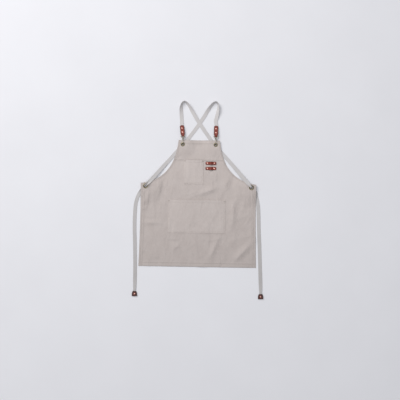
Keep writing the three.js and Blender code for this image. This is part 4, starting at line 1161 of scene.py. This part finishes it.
def strap_tab(side):
    """Leather tab: a narrow neck round the bar, straight sides and a rounded upper end."""
    leaf = LEAF_MIDDLE + LEATHER / 2
    along, outward = hairpin(TAB["length"], TAB["loop"] + LEATHER / 2, leaf, TAB["shoulder"])
    v = along[:, 0]
    body, neck = TAB["width"] / 2, TAB["neck"] / 2
    half = neck + (body - neck) * smooth((v - TAB["neck_length"] / 3) / (TAB["neck_length"] * 2 / 3))
    into = np.clip(v - (TAB["length"] - TAB["round"]), 0, TAB["round"])
    half = half - TAB["round"] + np.sqrt(TAB["round"] ** 2 - into**2)
    folded_leather(f"leather_tab_{side}", f"strap_tab_{side}", tab_frame(side), along, outward, half,
                   BROWN_LEATHER)


def tie_tip(side):
    """Bell-shaped leather tip: wide at its fold, curving in to the webbing."""
    leaf = LEAF_MIDDLE + LEATHER / 2
    along, outward = hairpin(TIP["length"], leaf, leaf, TIP["shoulder"])
    q = np.linspace(0, 1, 60)
    low, pull, high = TIP["length"] * np.array([TIP["curve_from"], TIP["curve_pull"], 1.0])
    v = (1 - q) ** 2 * low + 2 * q * (1 - q) * pull + q * q * high
    half = (1 - q * q) * TIP["bottom"] / 2 + q * q * TIP["top"] / 2
    half_width = np.interp(along[:, 0], v, half)
    folded_leather(f"leather_tip_{side}", f"tie_tip_{side}", tip_frame(side), along, outward, half_width,
                   DARK_LEATHER)


def leather_loop(level):
    """Leather loop: a strip with rounded corners, flat under its rivets and arched between them. Gives the
    height of its face under the rivets."""
    half_length, corner = LOOP["length"] / 2, LOOP["round"]
    ends = half_length - corner * (1 - np.sin(np.linspace(0, np.pi / 2, 10)))
    straight = np.linspace(-half_length + corner, half_length - corner, 60)[1:-1]
    s = np.concatenate([-ends[::-1], straight, ends])
    into = np.clip(np.abs(s) - (half_length - corner), 0, corner)
    half = LOOP["width"] / 2 - corner + np.sqrt(corner**2 - into**2)
    rise = LOOP["arch"] * np.cos(np.pi / 2 * np.minimum(1, np.abs(s) / LOOP["arch_half"])) ** 2
    x, v = LOOP["x"] + s, np.full_like(s, LOOP_HEIGHTS[level])
    base = np.max(canvas_face(x, v)) + LOOP["above_canvas"]
    path = np.column_stack([x, v, base + LEATHER / 2 + rise])
    side = np.repeat([[0.0, 1.0, 0.0]], len(s), axis=0)
    normal = np.cross(unit(np.gradient(path, axis=0)), side)
    leather_piece(f"loop_{level}", f"leather_loop_{level}", path, side, normal, half, BROWN_LEATHER,
                  columns=7)
    return base + LEATHER


# Metal
def rivet_cap():
    """Rivet: a low dome with a rolled rim, and a short shank under it."""
    radius, rim, low = RIVET_CAP["radius"], RIVET_CAP["rim"], RIVET_CAP["dome_from"]
    shank, depth = RIVET_SHANK["radius"], RIVET_SHANK["depth"]
    edge = arc(radius - rim, rim, rim, np.linspace(-np.pi / 2, np.pi / 2, 7))
    dome = np.linspace(0, 1, 9)
    top = np.stack([(radius - RIVET_CAP["dome_inset"]) * (1 - dome),
                    low + (RIVET_CAP["height"] - low) * np.sin(np.pi / 2 * dome)], axis=1)
    return np.concatenate([[(0.0, -depth), (shank, -depth), (shank, 0.0)], edge, top])


def set_rivet(node, centre, across, up, out):
    """A rivet seated on a face."""
    points, faces = turned(rivet_cap(), 28)
    placed = centre + points[:, :1] * across + points[:, 1:2] * up + points[:, 2:] * out
    make_piece(f"{node}_cap", placed, faces, COPPER, "copper", node, crisp=40)


def eyelet_piece(name, eyelet, side):
    """Eyelet: a rolled front flange, a barrel and a flatter back washer, as one closed ring profile. Both
    flanges rise as a power of a sine across them."""
    hole, flange, roll = eyelet["hole"], eyelet["flange"], EYELET_ROLL
    face = SEAT["thickness"] / 2 + roll["clear"]
    middle, reach = (hole + flange) / 2, (flange - hole) / 2
    sweep = np.linspace(0, np.pi, 17)
    front_rise = roll["front"] * np.sin(sweep) ** roll["front_power"]
    back_rise = roll["back"] * np.sin(sweep) ** roll["back_power"]
    front = np.stack([middle + reach * np.cos(sweep), face + front_rise], axis=1)
    back = np.stack([middle - reach * np.cos(sweep), -face - back_rise], axis=1)
    barrel = np.array([(hole + roll["barrel"], -face), (hole + roll["barrel"], face)])
    points, faces = turned(np.concatenate([front, back, barrel]), 48, closed=True)
    centre = (SIDES[side]["sign"] * eyelet["x"], eyelet["v"], eyelet["lift"] + SEAT["thickness"] / 2)
    make_piece(f"{name}_ring_{side}", points + centre, faces, AGED_BRASS, "brass", f"{name}_eyelet_{side}",
               crisp=45)


def hook_place(side, along=0.0, height=0.0):
    """A place on a hook's middle line, measured from the centre of its eyelet and up from the table."""
    return np.array([SIDES[side]["sign"] * BIB_EYELET["x"], BIB_EYELET["v"] + along, height])


def hook_body(side):
    """Hook: a rounded bar bent to a slot shape with an open mouth, cheeks that hold the gate's pin, and the
    collar of the swivel."""
    centre, middle, radius = hook_place(side), HOOK["middle"], HOOK_RADIUS
    side_path = np.concatenate([
        np.column_stack([np.linspace(HOOK["nose"], HOOK["bow"], 5)[:-1], np.full(4, LIMB)]),
        arc(HOOK["bow"], middle, radius, np.linspace(np.pi / 2, 3 * np.pi / 2, 25)),
        np.column_stack([np.linspace(HOOK["bow"], HOOK["top"], 8)[1:-1], np.full(6, middle - radius)]),
        arc(HOOK["top"], middle, radius, np.linspace(-np.pi / 2, np.pi * 0.36, 22)),
    ])
    path = np.column_stack([np.zeros(len(side_path)), side_path]) + centre
    ahead = unit(np.gradient(path, axis=0))
    across = np.repeat([[1.0, 0.0, 0.0]], len(path), axis=0)
    bar = rounded_bar(HOOK["width"], HOOK["wire"], HOOK["corner"], 5)
    thinned = np.interp(np.arange(len(path)), [0, 2], [HOOK["nose_share"], 1.0])
    bow = carried(bar, path, across, np.cross(ahead, across), widths=thinned)
    top = arc(PIVOT + CHEEK["past_pivot"], LIMB, CHEEK["radius"], np.linspace(-np.pi / 2, np.pi / 2, 9))
    foot = [(CHEEK["from"], LIMB + CHEEK["radius"]), (CHEEK["from"], LIMB - CHEEK["radius"])]
    plate, plate_faces = slab(np.concatenate([top, foot]), CHEEK["thickness"], CHEEK["bevel"])
    offsets = (-CHEEK["offset"], CHEEK["offset"])
    cheeks = [(plate + centre + (x, 0.0, 0.0), plate_faces) for x in offsets]
    pin_points, pin_faces = turned(PIN, 16)
    pin = pin_points[:, [2, 0, 1]] + hook_place(side, PIVOT, LIMB), pin_faces
    ring = COLLAR_RING * (-1, 1) + (COLLAR["radius"], 0.0)
    ring_points, ring_faces = turned(ring, 28, closed=True)
    collar = ring_points[:, [0, 2, 1]] + hook_place(side, 0.0, middle), ring_faces
    points, faces = together(bow, *cheeks, pin, collar)
    make_piece(f"snap_hook_{side}", points, faces, BRIGHT_BRASS, "brass", f"hook_body_{side}", crisp=35)


def hook_gate(side):
    """Gate: a lever on the pin with a raised thumb piece, bevelled along its edges."""
    half = GATE["half"]
    outline = np.concatenate([
        [(GATE["toe"], LIMB - half), (GATE["waist"], LIMB - half)],
        arc(PIVOT, LIMB, half, np.linspace(-np.pi / 2, np.pi / 2, 9)),
        THUMB + (0.0, LIMB),
    ])
    points, faces = slab(outline, GATE["thickness"], GATE["bevel"])
    make_piece(f"gate_lever_{side}", points + hook_place(side), faces, BRIGHT_BRASS, "brass",
               f"hook_gate_{side}", body=f"gate_{side}", crisp=35)


def hook_eye(side):
    """Swivelling eye: a round bar bent to a D, and the shank that turns in the collar. Each side of the D is
    a quadratic curve up to its knee and a quarter circle into the bar."""
    centre = hook_place(side, 0.0, HOOK["middle"])
    half, bar, corner = EYE["half"] - EYE["wall"] / 2, EYE["bar"], EYE["corner"]
    low, knee = COLLAR["to"] + EYE["above_collar"] + EYE["wall"] / 2, bar - EYE["knee"]
    q = np.linspace(0, 1, 15)
    rising = np.column_stack([(1 - (1 - q) ** 2) * half, low + q * q * (knee - low)])
    right = np.concatenate([rising, arc(half - corner, bar - corner, corner, np.linspace(0, np.pi / 2, 6))])
    outline = np.concatenate([right, (right[::-1] * (-1, 1))[:-1]])
    path = np.column_stack([outline, np.zeros(len(outline))]) + centre
    ahead = unit(np.roll(path, -1, axis=0) - np.roll(path, 1, axis=0))
    out = np.repeat([[0.0, 0.0, 1.0]], len(path), axis=0)
    wire = arc(0.0, 0.0, 1.0, np.linspace(0, 2 * np.pi, 14, endpoint=False))
    wire = wire * (EYE["wall"] / 2, EYE["thickness"] / 2)
    ring = carried(wire, path, np.cross(ahead, out), out, closed=True)
    shank_points, shank_faces = turned(SHANK, 20)
    stem = shank_points[:, [0, 2, 1]] + centre, shank_faces
    points, faces = together(ring, stem)
    make_piece(f"swivel_eye_{side}", points, faces, BRIGHT_BRASS, "brass", f"hook_eye_{side}", crisp=40)


def panel_flat_area():
    """Area of the flat panel, summed in strips: the skirt between its sides and the bib between its
    armholes."""
    half, height = armhole_point(np.linspace(1, 0, 400))
    skirt = np.linspace(0, CORNER_V, 200)
    half = np.concatenate([skirt_half(skirt), half])
    height = np.concatenate([skirt, height])
    return np.sum((half[1:] + half[:-1]) * np.diff(height)) * MM * MM


# The apron
panel = canvas_panel()
chest = pocket_piece("chest_pocket_patch", CHEST_POCKET, 40, 48)
waist = pocket_piece("waist_pocket_patch", WAIST_POCKET, 90, 54)
panel_thread = panel_stitching()
chest_thread = pocket_stitching("chest_pocket_stitching", CHEST_POCKET)
waist_thread = pocket_stitching("waist_pocket_stitching", WAIST_POCKET)

leaf_face = LEAF_MIDDLE + LEATHER
for side in SIDES:
    strap_piece(side)
    strap_tab(side)
    tie_tip(side)
    origin, across, up, out = tab_frame(side)
    for level, along in TAB_RIVETS.items():
        seat = origin + up * along + out * leaf_face
        set_rivet(f"tab_rivet_{side}_{level}", seat, across, up, out)
    origin, across, up, out = tip_frame(side)
    set_rivet(f"tip_rivet_{side}", origin + up * TIP["rivet"] + out * leaf_face, across, up, out)
    eyelet_piece("bib", BIB_EYELET, side)
    eyelet_piece("side", SIDE_EYELET, side)
    hook_body(side)
    hook_gate(side)
    hook_eye(side)

for level, v in LOOP_HEIGHTS.items():
    seat = leather_loop(level)
    for end, sign in (("left", -1.0), ("right", 1.0)):
        centre = np.array([LOOP["x"] + sign * LOOP["spread"] / 2, v, seat])
        set_rivet(f"loop_rivet_{level}_{end}", centre, *np.eye(3))

panel_flat_area()


# Table, light and camera
def table_top():
    """A flat square under the apron."""
    reach, drop = TABLE["reach"], TABLE["drop"]
    corners = [(x * reach, y * reach, -drop) for x, y in ((-1, -1), (1, -1), (1, 1), (-1, 1))]
    mesh = bpy.data.meshes.new("table_top")
    mesh.from_pydata(corners, [], [(0, 1, 2, 3)])
    mesh.materials.append(pale_table())
    table = bpy.data.objects.new("table_top", mesh)
    bpy.context.scene.collection.objects.link(table)


def add_light(name, place, size, power, colour):
    """A square soft light at a place, turned to the middle of the apron."""
    data = bpy.data.lights.new(name, "AREA")
    data.size, data.energy, data.color = size, power, colour
    light = bpy.data.objects.new(name, data)
    light.location = place
    toward = np.zeros(3) - place
    light.rotation_euler = (np.arctan2(np.hypot(toward[0], toward[1]), -toward[2]), 0.0,
                            np.arctan2(-toward[0], toward[1]))
    bpy.context.scene.collection.objects.link(light)


def camera_above():
    """Camera straight above the table, turned by the lean of the picture."""
    data = bpy.data.cameras.new("camera")
    data.sensor_width = VIEW["sensor"]
    data.lens = VIEW["sensor"] * VIEW["height"] / VIEW["width"]
    camera = bpy.data.objects.new("camera", data)
    camera.location = (*VIEW["middle"], VIEW["height"])
    camera.rotation_euler = (0.0, 0.0, np.radians(VIEW["lean"]))
    bpy.context.scene.collection.objects.link(camera)
    bpy.context.scene.camera = camera


table_top()
add_light("window", **WINDOW)
add_light("ceiling", **CEILING)
camera_above()
world = bpy.data.worlds.new("room")
world.use_nodes = True
background = world.node_tree.nodes["Background"]
background.inputs["Color"].default_value = ROOM["colour"]
background.inputs["Strength"].default_value = ROOM["strength"]
bpy.context.scene.world = world
bpy.context.scene.view_settings.view_transform = "Standard"
